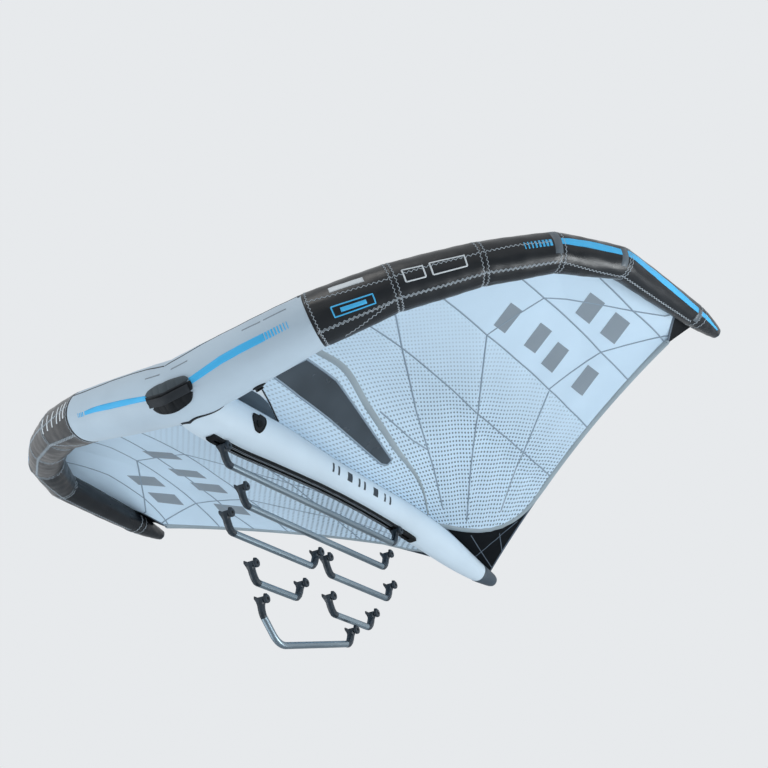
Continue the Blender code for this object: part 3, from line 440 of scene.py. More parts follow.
canopy = looks["canopy"] = Shader("canopy_cloth", 0.5)
column_and_row = canopy.node("ShaderNodeSeparateXYZ", {
    0: canopy.node("ShaderNodeUVMap", uv_map="dots").outputs[0]}).outputs
ring = canopy.math("ADD", *[
    canopy.math("POWER", canopy.math("DIVIDE", canopy.math(
        "SUBTRACT", canopy.math("FRACT", column_and_row[i]), 0.5), half), 2.0)
    for i, half in enumerate(DOT_HALVES)])
fade = canopy.node("ShaderNodeAttribute", attribute_name="fade").outputs["Fac"]
ground = canopy.blend(canopy.mottle(2.2, 4.0), *shades((202, 224, 241), 0.93, 1.03))
canopy.colour(canopy.blend(canopy.math("MULTIPLY", canopy.span(ring, 1.15, 0.75), fade), ground,
                           tint(84, 104, 120)))
canopy.roughness(canopy.mottle(12.0, low=0.42, high=0.56))
canopy.bump(canopy.weave(900.0), 0.0001, 0.3)
canopy.bump(canopy.noise(6.0, 4.0), 0.003, 0.45)


# Mesh helpers

def new_object(name, data):
    obj = bpy.data.objects.new(name, data)
    bpy.context.scene.collection.objects.link(obj)
    return obj


def mesh_piece(name, verts, faces, look, slot=None, replaces=(), body="wing", sharp=None):
    """A piece of the model with the material of its look; the slot argument is not used."""
    mesh = bpy.data.meshes.new(name)
    mesh.from_pydata([tuple(v) for v in np.asarray(verts) - GRIP], [], faces)
    mesh.materials.append(looks[look].material)
    mesh.shade_smooth()
    if sharp:
        mesh.set_sharp_from_angle(angle=math.radians(sharp))
    obj = new_object(name, mesh)
    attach(obj, body)
    if replaces:
        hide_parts(*replaces)
    return obj


def grid_faces(rows, columns, wrap=False, start=0, flip=False):
    """Quads over rows of points; wrap joins each row's last point to its first."""
    last = columns if wrap else columns - 1
    edges = [(start + i * columns + j, start + i * columns + (j + 1) % columns)
             for i in range(rows - 1) for j in range(last)]
    return [(a, b, b + columns, a + columns)[::-1 if flip else 1] for a, b in edges]


def sideways(spots, outs, closed):
    """Directions across a line that lies on a surface."""
    ahead = np.roll(spots, -1, 0) if closed else np.vstack([spots[1:], spots[-1:]])
    behind = np.roll(spots, 1, 0) if closed else np.vstack([spots[:1], spots[:-1]])
    return unit(np.cross(ahead - behind, outs))


class Batch:
    """Many small bands, threads and patches that share one material and make one piece."""

    def __init__(self):
        self.verts, self.faces, self.count = [], [], 0

    def add(self, verts, faces):
        self.verts.append(np.asarray(verts).reshape(-1, 3))
        self.faces += [tuple(self.count + i for i in face) for face in faces]
        self.count += len(self.verts[-1])
        return self

    def band(self, spots, outs, width, height, both=False, closed=False):
        """Flat band along a line on a surface, on one side of it or on both."""
        across = sideways(spots, outs, closed)
        width = np.broadcast_to(width, len(spots))[:, None] / 2
        section = [(-1.0, -0.2), (-0.9, 1.0), (0.9, 1.0), (1.0, -0.2)]
        if both:
            section = [(-1.0, 0.0), (-0.9, 1.0), (0.9, 1.0), (1.0, 0.0), (0.9, -1.0), (-0.9, -1.0)]
        rows = np.stack([spots + across * width * a + outs * height * h for a, h in section], 1)
        if closed:
            rows = np.concatenate([rows, rows[:1]])
        return self.add(rows, grid_faces(len(rows), len(section), both, flip=True))

    def zigzag(self, spots, outs, reach, closed=False):
        """Thread that swings from side to side of a line of evenly spaced points."""
        swing = np.where(np.arange(len(spots)) % 2 == 0, reach, -reach)[:, None]
        return self.band(spots + sideways(spots, outs, closed) * swing, outs, 0.0024, 0.0012,
                         closed=closed)

    def patch(self, outline, surface, step, height, both=False):
        """Filled outline in a surface's two coordinates; surface gives points and directions."""
        flat, faces = fill(outline, step)
        spots, outs = surface(flat[:, 0], flat[:, 1])
        edge = len(outline)
        rise = height(flat)[:, None] if callable(height) else height
        top = spots + outs * rise
        bottom = spots[:edge] - outs[:edge] * (height if both else 0.0002)
        skirt = [(i, (i + 1) % edge, len(flat) + (i + 1) % edge, len(flat) + i)
                 for i in range(edge)]
        self.add(np.vstack([top, bottom]), faces + skirt)
        if both:
            self.add(spots - outs * height, [face[::-1] for face in faces])
        return self

    def piece(self, name, look, **words):
        return mesh_piece(name, np.vstack(self.verts), self.faces, look, **words)


def inside(points, outline):
    """Which points lie inside a closed outline."""
    x, y = points[:, 0], points[:, 1]
    hit = np.zeros(len(points), bool)
    for (ax, ay), (bx, by) in zip(outline, np.roll(outline, -1, 0)):
        if ay != by:
            hit ^= ((ay > y) != (by > y)) & (x < (bx - ax) * (y - ay) / (by - ay) + ax)
    return hit


def refine(outline, step, closed=True):
    """The same line with points no further apart than the step."""
    outline = np.asarray(outline, float)
    ends = np.roll(outline, -1, 0) if closed else outline[1:]
    rows = []
    for a, b in zip(outline, ends):
        count = max(int(np.max(np.ceil(np.abs(b - a) / step))), 1)
        rows += [a + (b - a) * i / count for i in range(count)]
    return np.array(rows if closed else rows + [outline[-1]])


def fill(outline, step):
    """Outline with points inside it on a grid, and the triangles between them all."""
    outline, step = np.array(outline, float), np.array(step)
    low, high = outline.min(0), outline.max(0)
    xs, ys = np.meshgrid(np.arange(low[0] + step[0] / 2, high[0], step[0]),
                         np.arange(low[1] + step[1] / 2, high[1], step[1]))
    grid = np.stack([xs.ravel(), ys.ravel()], 1)
    grid = grid[inside(grid, outline)]
    near = np.min(np.max(np.abs((grid[:, None] - outline[None]) / step), axis=2), axis=1)
    points = np.vstack([outline, grid[near > 0.45]])
    scaled = [Vector(p / step) for p in points]
    verts, _, faces, _, _, _ = delaunay_2d_cdt(scaled, [], [list(range(len(outline)))], 1, 1e-5)
    return np.array([tuple(v) for v in verts]) * step, [tuple(face) for face in faces]


def distances(points):
    """How far along a line each of its points is."""
    return np.concatenate([[0], np.cumsum(np.linalg.norm(np.diff(points, axis=0), axis=1))])


def smooth_line(points, count):
    """Rounded line through the points."""
    points = np.asarray(points, float)
    knots = distances(points)
    at = np.linspace(0, knots[-1], count)
    return np.stack([smooth_curve(at, knots, points[:, i]) for i in range(points.shape[1])], 1)


def rounded(outline, count):
    """Closed outline with its corners rounded."""
    return smooth_line(np.vstack([outline, outline[:1]]), count)[:-1]


def skin(name, rings, look, flip=False, **words):
    """Piece with a skin through rings of points."""
    rings = np.asarray(rings)
    return mesh_piece(name, rings.reshape(-1, 3),
                      grid_faces(len(rings), rings.shape[1], True, flip=flip), look, **words)


# Skins of the leading edge

SIDES = {1: "right", -1: "left"}
AROUND = circle(120)
BAG_AROUND, BAG_INSET, END_BULGE = AROUND[::3], -0.004, 0.014


def tube_rows(first, last, step=0.012):
    rows = [float(first)]
    for j in range(int(math.floor(first)), int(math.ceil(last))):
        count = max(int(RUNS[j + LAST] / step), 4)
        rows += list(np.linspace(j, j + 1, count + 1)[1:])
    return np.array(rows)


# The middle section takes the darker copy of the white cloth, which is painted shade
for part, first, last, look in (
        ("centre", -SEAM_MID, SEAM_MID, "tube"), ("right_mid", SEAM_MID, SEAM_TIP, "black"),
        ("left_mid", -SEAM_TIP, -SEAM_MID, "black"), ("right_tip", SEAM_TIP, LAST, "black"),
        ("left_tip", -LAST, -SEAM_TIP, "black")):
    skin(f"le_skin_{part}", tube_spot(tube_rows(first, last)[:, None], AROUND)[0], look,
         replaces=[f"le_casing_{part}"])

for side, word in SIDES.items():
    k = LAST + LAST * side
    rim, _ = tube_spot(float(LAST * side), AROUND)
    skin(f"tip_end_{word}",
         [AXIS[k] + (rim - AXIS[k]) * share + NORMAL[k] * side * END_BULGE * deep
          for share, deep in ((1.0, 0.0), (0.985, 0.25), (0.93, 0.5), (0.82, 0.72), (0.62, 0.88),
                              (0.35, 0.97), (0.02, 1.0))],
         "tail", flip=side < 0, replaces=[f"tip_cap_{word}"])

bag, _ = tube_spot(tube_rows(-LAST + 0.02, LAST - 0.02, 0.05)[:, None], BAG_AROUND, BAG_INSET)
skin("le_air_bag", bag, "bladder", replaces=["le_bladder"])


# Skin of the strut, from where it meets the leading edge

def le_reach(points):
    """How far points lie outside the leading edge's middle section."""
    points = np.array(points)
    points[..., 0] = np.abs(points[..., 0])
    off = points - AXIS[LAST]
    far = np.sum(off * WAYS[LAST], -1)
    radius = RADII[LAST] + (RADII[LAST + 1] - RADII[LAST]) * far / RUNS[LAST]
    return np.linalg.norm(off - far[..., None] * WAYS[LAST], axis=-1) - radius


inner, reach = np.zeros(len(AROUND)), np.full(len(AROUND), 0.25)
for _ in range(24):
    middle = (inner + reach) / 2
    outside = le_reach(strut_spot(middle, AROUND)[0]) > -0.001
    reach = np.where(outside, middle, reach)
    inner = np.where(outside, inner, middle)

STRUT_SEAMS = (0.62, 1.62)
rows = reach + (CASING_END - reach) * np.linspace(0.0, 1.0, 150)[:, None]
lift = sum(-0.0006 * np.exp(-((rows - seam) / 0.01) ** 2) for seam in STRUT_SEAMS)
lift = lift + 0.0006 * np.sin(17.0 * rows + 2.0 * AROUND) * np.sin(3.0 * AROUND + 5.0 * rows)
spots, outs = strut_spot(rows, AROUND)
skin("strut_skin", spots + outs * lift[..., None], "white", flip=True, replaces=["strut_casing"])

sock = []
for share, size in ((0.0, 1.0), (0.003, 1.03), (0.2, 1.03), (0.45, 1.02), (0.7, 1.01),
                    (0.85, 0.98), (0.94, 0.9), (0.985, 0.74), (1.0, 0.5), (1.0, 0.02)):
    y = CASING_END + FIT_GAP + (STRUT_LENGTH - CASING_END - FIT_GAP) * share
    centre = arr(0, y, float(strut_z(y)))
    sock.append(centre + (strut_spot(y, AROUND)[0] - centre) * size)
skin("strut_tail_sock", sock, "tail", flip=True, replaces=["strut_tail_cap"])

bag, _ = strut_spot(np.linspace(STRUT_LENGTH * 0.08, CASING_END - 0.004, 40)[:, None],
                    BAG_AROUND, BAG_INSET)
skin("strut_air_bag", bag, "bladder", flip=True, replaces=["strut_bladder"])


# Canopy cloth with its dots

def spread_samples(start, end, step):
    knots = sorted({start, end, *[k for k in (*station_shares, KNEE_SHARE) if start < k < end]})
    samples = [knots[0]]
    for a, b in zip(knots, knots[1:]):
        samples += list(np.linspace(a, b, max(math.ceil((b - a) / step), 1) + 1)[1:])
    return np.array(samples)


def mirrored(side, spots):
    return spots * arr(side, 1, 1)


def cloth_sheet(name, side, samples, low, high, steps, look, replaces):
    """A sheet of the canopy on one half, between two lines along the span."""
    across = np.linspace(0.0, 1.0, steps + 1)
    a, b = low(samples), high(samples)
    t = a[:, None] + (b - a)[:, None] * across[None, :]
    s = np.broadcast_to(samples[:, None], t.shape)
    spots = cloth_spot(s, t)
    spots = spots.reshape(-1, 3)
    obj = mesh_piece(f"{name}_{SIDES[side]}", mirrored(side, spots),
                     grid_faces(len(samples), steps + 1, flip=side > 0), look,
                     replaces=[f"{replaces}_{SIDES[side]}"])
    return obj, spots, s.ravel(), t.ravel()


FAN_EDGES = (14.0, 23.0, 34.0, 49.0)
FAN_TURNS = np.radians((5.0, 17.0, 29.0, 41.0, 53.0))
ROW_TURN, ROW_PITCH, DOT_PITCH = math.radians(50.0), 0.023, 0.0142


def dots(obj, spots, s, t):
    """Dots in columns along each fan panel and in common rows, and how strongly they show."""
    limit = np.interp(t, (0.2, 0.41, 0.73, 0.95), (0.37, 0.38, 0.434, 0.487))
    strength = (0.35 * ease(limit - s, 0.0, 0.01) + 0.65 * ease(limit - s, 0.02, 0.24)) * (
        0.4 + 0.6 * ease(t, 0.15, 0.75))
    attribute = obj.data.attributes.new("fade", "FLOAT", "POINT")
    attribute.data.foreach_set("value", strength.astype(np.float32))
    layer = obj.data.uv_layers.new(name="dots")
    loops = np.zeros(len(obj.data.loops), np.int32)
    obj.data.loops.foreach_get("vertex_index", loops)
    middles = fan_angle(spots)[loops].reshape(-1, 4).mean(1)
    turn = np.repeat(FAN_TURNS[np.searchsorted(FAN_EDGES, middles)], 4)
    x, y = spots[loops, :2].T
    uv = np.stack([(x * np.cos(turn) + y * np.sin(turn)) / np.cos(ROW_TURN - turn) / DOT_PITCH,
                   (y * math.cos(ROW_TURN) - x * math.sin(ROW_TURN)) / ROW_PITCH], 1)
    layer.data.foreach_set("uv", uv.astype(np.float32).ravel())


# Lines on the canopy in thousandths of span and chord; the last seam is on the left half only
seam_lines = (
    ((228, 0), (228, 198), (228, 314), (226, 649), (254, 990)),
    ((300, 0), (276, 192), (228, 314), (143, 510), (84, 666), (38, 762)),
    ((365, 0), (365, 213), (381, 413), (434, 731), (490, 990)),
    ((381, 413), (226, 649), (119, 767), (50, 845)),
    ((500, 0), (509, 211), (532, 337), (627, 700), (716, 990)),
    ((532, 337), (631, 403), (756, 442), (869, 413), (898, 300)),
    ((640, 0), (668, 236), (756, 442), (890, 970)),
    ((627, 700), (902, 817)),
    ((431, 738), (246, 853), (109, 918)),
    ((381, 413), (417, 399), (532, 337)),
    ((434, 731), (627, 700)),
    ((108, 423), (102, 558), (104, 607)),
    ((430, 0), (430, 209), (482, 434), (581, 852), (600, 990)))
grey_band = ((150, 0), (135, 156), (133, 248), (103, 386), (78, 514), (40, 683), (12, 735))
window_line = ((70, 117), (116, 156), (110, 264), (57, 537), (46, 534), (42, 516), (57, 319),
               (62, 214))
gusset_line = ((4, 50), (34, 50), (36, 104), (35.5, 130), (30.5, 161), (12, 212), (4, 230))
gusset_gap = ((37, 106), (45, 124), (33.5, 158), (36.2, 131))
gusset_edge = ((45, 122), (32, 163), (12, 216))
block_lines = (((465, 317), (477, 370), (416, 436), (407, 385)),
               ((501, 450), (516, 507), (451, 570), (438, 515)),
               ((519, 564), (537, 623), (466, 678), (451, 621)),
               ((574, 735), (602, 804), (520, 847), (498, 780)),
               ((638, 334), (668, 409), (614, 527), (586, 454)),
               ((693, 476), (742, 552), (675, 684), (638, 592)))


def on_cloth(side):
    def surface(s, t):
        return mirrored(side, cloth_spot(s, t)), mirrored(side, cloth_normal(s, t))
    return surface


def strips(name, side, look, bands, closed=False, **words):
    """One piece of bands on both faces of the cloth; each has a path, a width and a height."""
    batch = Batch()
    for path, width, height in bands:
        batch.band(*on_cloth(side)(*path.T), width, height, both=True, closed=closed)
    return batch.piece(f"{name}_{SIDES[side]}", look, **words)


def panels(name, side, look, outlines, height, step=0.012, grid=(0.008, 0.012), **words):
    """One piece of filled outlines on both faces of the cloth."""
    batch = Batch()
    for outline in outlines:
        batch.patch(plan_path(outline, step, True), on_cloth(side), grid, height, both=True)
    return batch.piece(f"{name}_{SIDES[side]}", look, sharp=50, **words)


def path_at(s, t):
    return np.stack(np.broadcast_arrays(s, t), 1)


cloth_samples = spread_samples(0.0, CORNER_SHARE, 0.0065)
closing_samples = spread_samples(0.0, CLOSING_END, 0.006)
tip_samples = spread_samples(CORNER_SHARE - 0.004, TIP_SHARE, 0.004)
knee_samples = spread_samples(0.0, KNEE_SHARE, 0.006)
seam_bands = [(plan_path(line), 0.0065, 0.0011) for line in seam_lines]
for path, _, _ in seam_bands:
    path[:, 1] = np.minimum(path[:, 1], tape_inner(path[:, 0]))
grey_path = smooth_line(np.array(grey_band) / 1000, 90)
grey_width = 0.027 - 0.019 * ease(np.linspace(0, 1, 90), 0.6, 1.0)
tape_path = path_at(cloth_samples, (tape_inner(cloth_samples) + turn_share(cloth_samples)) / 2)
closing_bands = [(refine(ends, (0.004, 0.01), closed=False), 0.004, 0.0009) for ends in (
    ((0.035, 0.88), (0.012, 0.995)), ((0.075, 0.955), (0.05, 0.998)),
    ((0.012, 0.8), (0.004, 0.99)), ((0.002, 0.925), (0.115, 0.985)))]
closing_bands.append((path_at(knee_samples, 0.997), 0.007, 0.0012))
tip_band = (path_at(CORNER_SHARE, np.linspace(0.1, 0.98, 40)), 0.01, 0.0013)

for side, word in SIDES.items():
    cloth, spots, s, t = cloth_sheet(
        "canopy_cloth", side, cloth_samples, np.zeros_like,
        lambda s: tape_inner(s) + 0.4 * TAPE_WIDTH / chord(s), 150, "canopy", "canopy")
    dots(cloth, spots, s, t)
    carried = [
        strips("canopy_seams", side, "seam", seam_bands if side < 0 else seam_bands[:-1],
               slot="canopy"),
        strips("canopy_grey_band", side, "tape", [(grey_path, grey_width, 0.0011)]),
        panels("window_pane", side, "window", [window_line], 0.0019, replaces=[f"window_{word}"]),
        strips("window_rim", side, "seam", [(plan_path(window_line, 0.008, True), 0.009, 0.0024)],
               closed=True),
        panels("strut_gusset", side, "gusset", [gusset_line], 0.0016),
        panels("gusset_gap", side, "print_white", [gusset_gap], 0.0014, step=0.01),
        strips("gusset_edge", side, "webbing", [(plan_path(gusset_edge), 0.006, 0.0024)]),
        panels("canopy_blocks", side, "print_grey", block_lines, PRINT, grid=(0.009, 0.012))]
    tape = strips("trailing_edge", side, "tape", [(tape_path, TAPE_WIDTH, 0.0016)],
                  replaces=[f"trailing_tape_{word}"])
    closing = cloth_sheet("closing_cloth", side, closing_samples,
                          lambda s: turn_share(s) - 0.006 / chord(s), np.ones_like, 24,
                          "closing", "closing_panel")[0]
    lines = strips("closing_seams", side, "dark_thread", closing_bands)
    tip = cloth_sheet("tip_cloth", side, tip_samples, np.zeros_like, np.ones_like, 24,
                      "closing", "tip_panel")[0]
    tip_edge = strips("tip_seam", side, "dark_thread", [tip_band])

    for shade, first, last, width, look in (("white", 0, SEAM_MID, 0.022, "seam"),
                                            ("black", SEAM_MID, LAST - 1, 0.02, "black")):
        along = tube_rows(first, last)
        along = along if side > 0 else -along[::-1]
        tape = Batch().band(*tube_spot(along, SEW_ANGLE), width, 0.0016)
        tape.piece(f"sew_tape_{shade}_{word}", look)


# Prints, stripes and stitches on the leading edge

def in_radians(points):
    return [(place, math.radians(angle)) for place, angle in points]


def tube_line(points, step=0.02):
    """Points and directions along a line of places and angles in degrees on the tube."""
    return tube_spot(*refine(in_radians(points), (step, 0.05), closed=False).T)


def even_line(points, pitch):
    """Evenly spaced points and directions along a line on the tube."""
    spots, outs = tube_line(points, 0.01)
    run = distances(spots)
    at = np.linspace(0, run[-1], max(int(run[-1] / pitch), 2) + 1)
    spots, outs = [np.stack([np.interp(at, run, values[:, i]) for i in range(3)], 1)
                   for values in (spots, outs)]
    return spots, unit(outs)


def tube_patch(batch, outline, height=THIN_PRINT):
    batch.patch(refine(in_radians(outline), (0.03, 0.05)), tube_spot, (0.03, 0.06), height)


def bar(batch, middle, half, height=THIN_PRINT):
    """Stripe about a line of places and angles in degrees, with its half width in degrees."""
    half = np.broadcast_to(half, len(middle))
    up = [(j, a + h) for (j, a), h in zip(middle, half)]
    down = [(j, a - h) for (j, a), h in zip(middle, half)]
    tube_patch(batch, up + down[::-1], height)


threads = Batch()
for points in (((1.0, 170), (1.46, 181), (1.91, 187), (2.32, 183), (2.9, 182), (3.47, 175),
                (3.86, 179)),
               ((1.0, -122), (1.92, -123), (2.92, -126), (3.92, -125)),
               ((1.0, -119), (1.92, -120), (2.92, -123), (3.92, -122)),
               ((3.95, -121), (4.91, -93), (5.9, -93)),
               ((1.26, -81), (1.92, -122))):
    for side in (1, -1):
        line = points if side > 0 else [(-j, a) for j, a in points][::-1]
        threads.zigzag(*even_line(line, 0.009), 0.0036)
for j in range(1, LAST):
    stitches = 2 * int(RADII[LAST + j] * math.pi / 0.0075)
    for side in (1, -1):
        for shift in (0.009,) if j == 1 else (-0.009, 0.009):
            threads.zigzag(*tube_spot(side * (j + shift / RUNS[LAST + j]), circle(stitches)),
                           0.0032, closed=True)
threads.piece("le_stitching", "thread")

bands = Batch()
for j in (1, 2, 3):
    for side in (1, -1):
        bands.band(*tube_spot(side * (j + 0.004), circle(96)), 0.012, PRINT, closed=True)
bands.piece("le_seam_bands", "black")

loops = Batch()
for j, low, high in ((3.94, 137, 214), (4.9, 160, 226), (5.92, 191, 256)):
    for side in (1, -1):
        loops.band(*tube_line([(side * j, low), (side * j, high)]), 0.03, 0.0015)
loops.piece("le_loop_tapes", "loop")

blue = Batch()


def stripe(points, places, halves):
    """Blue stripe with its half widths at a few places."""
    line = smooth_line(points, 24)
    bar(blue, line, np.interp(line[:, 0], places, halves))


stripe([(0.17, 207), (0.26, 203.8), (0.36, 200.3), (0.46, 198), (0.58, 197.2), (0.7, 197.4)],
       (0.17, 0.32, 0.46, 0.7), (6.0, 6.6, 7.4, 7.4))
for i in range(8):
    start = 0.706 + 0.021 * i
    bar(blue, [(start, 197.5), (start + 0.015 - 0.0014 * i, 197.5)], 7.2)
stripe([(-0.8, 199.3), (-0.7, 198), (-0.54, 199.6), (-0.37, 201.6), (-0.17, 205)],
       (-0.8, -0.7, -0.54, -0.37, -0.17), (4.0, 5.2, 6.0, 5.6, 4.4))
for i in range(4):
    start = -0.815 - 0.018 * i
    bar(blue, [(start - 0.01 + 0.0016 * i, 200), (start, 200)], 4.4)
for side in (1, -1):
    tube_patch(blue, [(side * j, a) for j, a in
                      ((3.9, 171), (4.4, 161), (5.37, 171), (5.9, 191), (6.8, 207),
                       (6.8, 219), (5.9, 215), (5.37, 204), (4.91, 190), (4.4, 188),
                       (3.9, 189))])
    for i in range(8):
        j = 3.52 + 0.045 * i
        bar(blue, [(side * j, 180), (side * (j + 0.012 + 0.003 * i), 180)], 10.0)
blue.piece("le_blue_panels", "blue")

prints = Batch()
bar(prints, [(1.3, 163), (1.7, 166)], 7.0, PRINT)
for low, high in ((2.12, 2.34), (2.42, 2.8)):
    for a, b in (((low, 176), (high, 178)), ((low, 206), (high, 206))):
        bar(prints, [a, b], 1.6, PRINT)
    for j in (low, high):
        prints.band(*tube_line([(j, 176), (j, 206)]), 0.006, PRINT)
for j, angle in ((-1.1, 176), (-1.21, 178), (-1.33, 180), (-1.52, 182), (-1.72, 184),
                 (-1.92, 186)):
    bar(prints, [(j - 0.035, angle), (j, angle)], 19.0, PRINT)
prints.piece("le_white_blocks", "print_white")

boxed = Batch()
boxed.band(*tube_line([(1.25, 201), (1.73, 206), (1.73, 227), (1.25, 223), (1.25, 201)]), 0.005,
           PRINT)
bar(boxed, [(1.34, 213), (1.64, 216)], 4.5, PRINT)
boxed.piece("le_blue_frame", "blue")

marks = Batch()
for low, high, angle in ((0.57, 0.7, 163), (0.72, 0.88, 163), (-0.17, -0.03, 169),
                         (0.06, 0.18, 169)):
    bar(marks, [(low, angle), (high, angle)], 1.2)
marks.piece("le_small_marks", "print_grey")

lines = Batch()
for top_line in (((-0.98, 146), (-0.455, 139), (-0.004, 151)),
                 ((0.004, 151), (0.2, 143), (0.436, 135.5), (0.805, 132), (0.985, 143))):
    lines.band(*tube_line(smooth_line(top_line, 45)), 0.006, PRINT)
lines.piece("le_thin_lines", "print_dark")

bends = np.linspace(math.radians(74), math.radians(206), 80)
spots, outs = strut_spot(np.interp(bends, AROUND, reach) + 0.001, bends, 0.001)
piping = Batch().band(spots, unit(outs + arr(0, -0.6, 0)), 0.0095, 0.0028)
piping.piece("strut_piping", "webbing")


# Strut seams and prints

seams = Batch()
for angle in (41, -41):
    along = np.linspace(0.16, CASING_END - 0.01, 160)
    seams.band(*strut_spot(along, math.radians(angle)), 0.008, 0.001)
seams.piece("strut_seams", "seam", slot="white_cloth")

blocks = Batch()
block_low, block_high = math.radians(84), math.radians(114)
for y, width in ((0.81, 0.012), (0.85, 0.012), (0.92, 0.034), (1.0, 0.012), (1.04, 0.012),
                 (1.11, 0.034), (1.19, 0.012), (1.23, 0.012)):
    outline = [(y, block_low), (y + width, block_low), (y + width, block_high), (y, block_high)]
    blocks.patch(refine(outline, (0.01, 0.05)), strut_spot, (0.015, 0.08), 0.0006)
blocks.piece("strut_dark_blocks", "print_dark")


# Soft cover over the strut's valve, and the flap beside the leading edge's valve

heart = np.array(in_radians([
    (0.266, 87), (0.274, 80), (0.286, 76), (0.297, 76), (0.306, 79.5), (0.315, 73), (0.329, 69),
    (0.343, 70), (0.351, 76), (0.35, 86), (0.342, 96), (0.332, 107), (0.32, 115), (0.311, 118),
    (0.298, 117), (0.284, 112), (0.273, 103), (0.267, 95)]))
heart_middle = arr(0.308, math.radians(95))
flap_middle, flap_size = arr(0.487, math.radians(-61)), arr(0.046, 0.19)


def heart_rise(flat):
    near = np.max(np.abs((flat - heart_middle) / arr(0.042, 0.4)), axis=1)
    return 0.0018 + 0.0016 * ease(1.0 - near, 0.0, 0.3)


def flap_rise(flat):
    return 0.003 + 0.004 * ease(1.0 - np.hypot(*((flat - flap_middle) / flap_size).T), 0.0, 0.6)


flap = Batch().patch(rounded(heart, 64), strut_spot, (0.006, 0.06), heart_rise)
flap.piece("strut_valve_flap", "pad", replaces=["strut_valve_cover"], sharp=60)
edge = heart_middle + (rounded(heart, 81) - heart_middle) * 0.93
rim = Batch().band(*strut_spot(*edge.T, 0.0018), 0.006, 0.0022, closed=True)
rim.piece("strut_valve_rim", "plastic")
turn = circle(28)
edge = flap_middle + flap_size * np.stack([np.cos(turn), np.sin(turn)], 1)
flap = Batch().patch(edge, tube_spot, (0.012, 0.05), flap_rise)
flap.piece("le_valve_flap", "pad", sharp=60)


# Pad and strap on the nose

PAD_DEGREES, PAD_SPLIT = 216, 0.0215


def pad_surface(x, across, lift):
    return tube_spot(x / AXIS[LAST + 1][0], math.radians(PAD_DEGREES) - across / LE_RADIUS, lift)


def pad_plane(points):
    """Metres on the pad from places on the tube and degrees around it."""
    place, degrees = np.array(points, float).T
    return np.stack([place * AXIS[LAST + 1][0], np.radians(PAD_DEGREES - degrees) * LE_RADIUS], 1)


pad_line = rounded(pad_plane([
    (-0.175, 201), (-0.15, 195.5), (-0.092, 190.5), (0.029, 187.5), (0.095, 190), (0.16, 196),
    (0.176, 204), (0.181, 214), (0.162, 226.5), (0.137, 236), (0.054, 242.5), (-0.022, 242.5),
    (-0.124, 236.5), (-0.156, 225.5), (-0.178, 214)]), 97)
for notch in pad_plane([(0.17, 203), (0.166, 222), (-0.17, 205), (-0.16, 224)]):
    pad_line[np.argmin(np.linalg.norm(pad_line - notch, axis=1))] *= 0.86
rings, pad_across = [], []
pad_steps = [(1.0, 0.0004), (1.0, 0.003), (0.985, 0.005), (0.955, 0.0066), (0.9, 0.008),
             (0.86, 0.0086)]
pad_steps += [(share, 0.01 - 0.0014 * (share / 0.86) ** 4)
              for share in np.linspace(0.82, 0.02, 20)]
for share, height in pad_steps:
    x, y = pad_line.T * share
    groove = sum(np.exp(-((x - at) / 0.003) ** 2) for at in (-0.045, -0.015, 0.015, 0.045))
    rings.append(pad_surface(x, y, height - 0.0022 * groove * (height > 0.006))[0])
    pad_across.append(y)
pad = skin("nose_pad", rings, "pad", replaces=["front_handle_pad"])
pad.data.materials.append(looks["pad_light"].material)
pad_across = np.concatenate(pad_across)
for face in pad.data.polygons:
    face.material_index = int(pad_across[list(face.vertices)].mean() > PAD_SPLIT)
spots, outs = pad_surface(np.linspace(-0.083, 0.078, 40), PAD_SPLIT, 0.0088)
Batch().band(spots, outs, 0.006, 0.0022).piece("nose_pad_piping", "webbing")

x = np.linspace(-0.94 * STRAP_HALF, 0.97 * STRAP_HALF, 48)
spots, outs = pad_surface(x, 0.0, 0.0115)
lift = 0.6 * STRAP_RISE * (1.0 - (x / STRAP_HALF) ** 2) ** 2
centre_out = unit(outs * arr(0, 1, 1))
strap = Batch().band(spots + centre_out * lift[:, None], centre_out, STRAP_WIDTH, 0.0013, both=True)
strap.piece("nose_strap", "webbing", replaces=["front_grab_strap"])


# Ribs on the lips of the rail, between the stretches that the boom's forks slide over

ribs = Batch()
for y in np.arange(0.242, 1.322, 0.0118):
    for side in (1, -1):
        spots = np.array([(side * x, y, rail_bottom(y)) for x in (0.0058, 0.017)])
        ribs.band(spots, arr((0, 0, -1), (0, 0, -1)), 0.0056, 0.0004)
ribs.piece("rail_ribs", "rib")


# Bent spare handle's tube with its full bend, and the pinned ears of every handle's fork

BENT_FRONT, BENT_BELOW, BENT_LENGTH, BENT_DROP, BENT_OUT = 0.382, 0.112, 0.513, 0.083, -0.18
bent_shares = ((0.0, 0.0), (0.098, 0.68), (0.136, 0.92), (0.185, 0.99), (1.0, -0.12))
spare_shares = ((0.086, 0.908, 0.54), (-0.005, 0.423, 0.746), (0.56, 0.907, 0.753),
                (0.113, 0.311, 0.988), (0.558, 0.756, 1.0))
bent = np.array([(0.0, BENT_FRONT + BENT_LENGTH * a, -SPARE_DEPTH - BENT_BELOW - BENT_DROP * d)
                 for a, d in bent_shares])
corner = [bent[0] + (bent[1] - bent[0]) * 0.9, bent[0] + (bent[1] - bent[0]) * 1.53,
          bent[3] + (bent[4] - bent[3]) * 0.07]
share = np.linspace(0.0, 1.0, 30)[:, None]
curve = (1 - share) ** 2 * corner[0] + 2 * share * (1 - share) * corner[1] + share ** 2 * corner[2]
path = np.vstack([bent[:1], curve, bent[-1:]])
way = unit(np.vstack([path[1:2] - path[:1], path[2:] - path[:-2], path[-1:] - path[-2:-1]]))
over = np.cross(way, arr(1, 0, 0))
PIPE_SIDES = 32
turn = circle(PIPE_SIDES)[None, :, None]
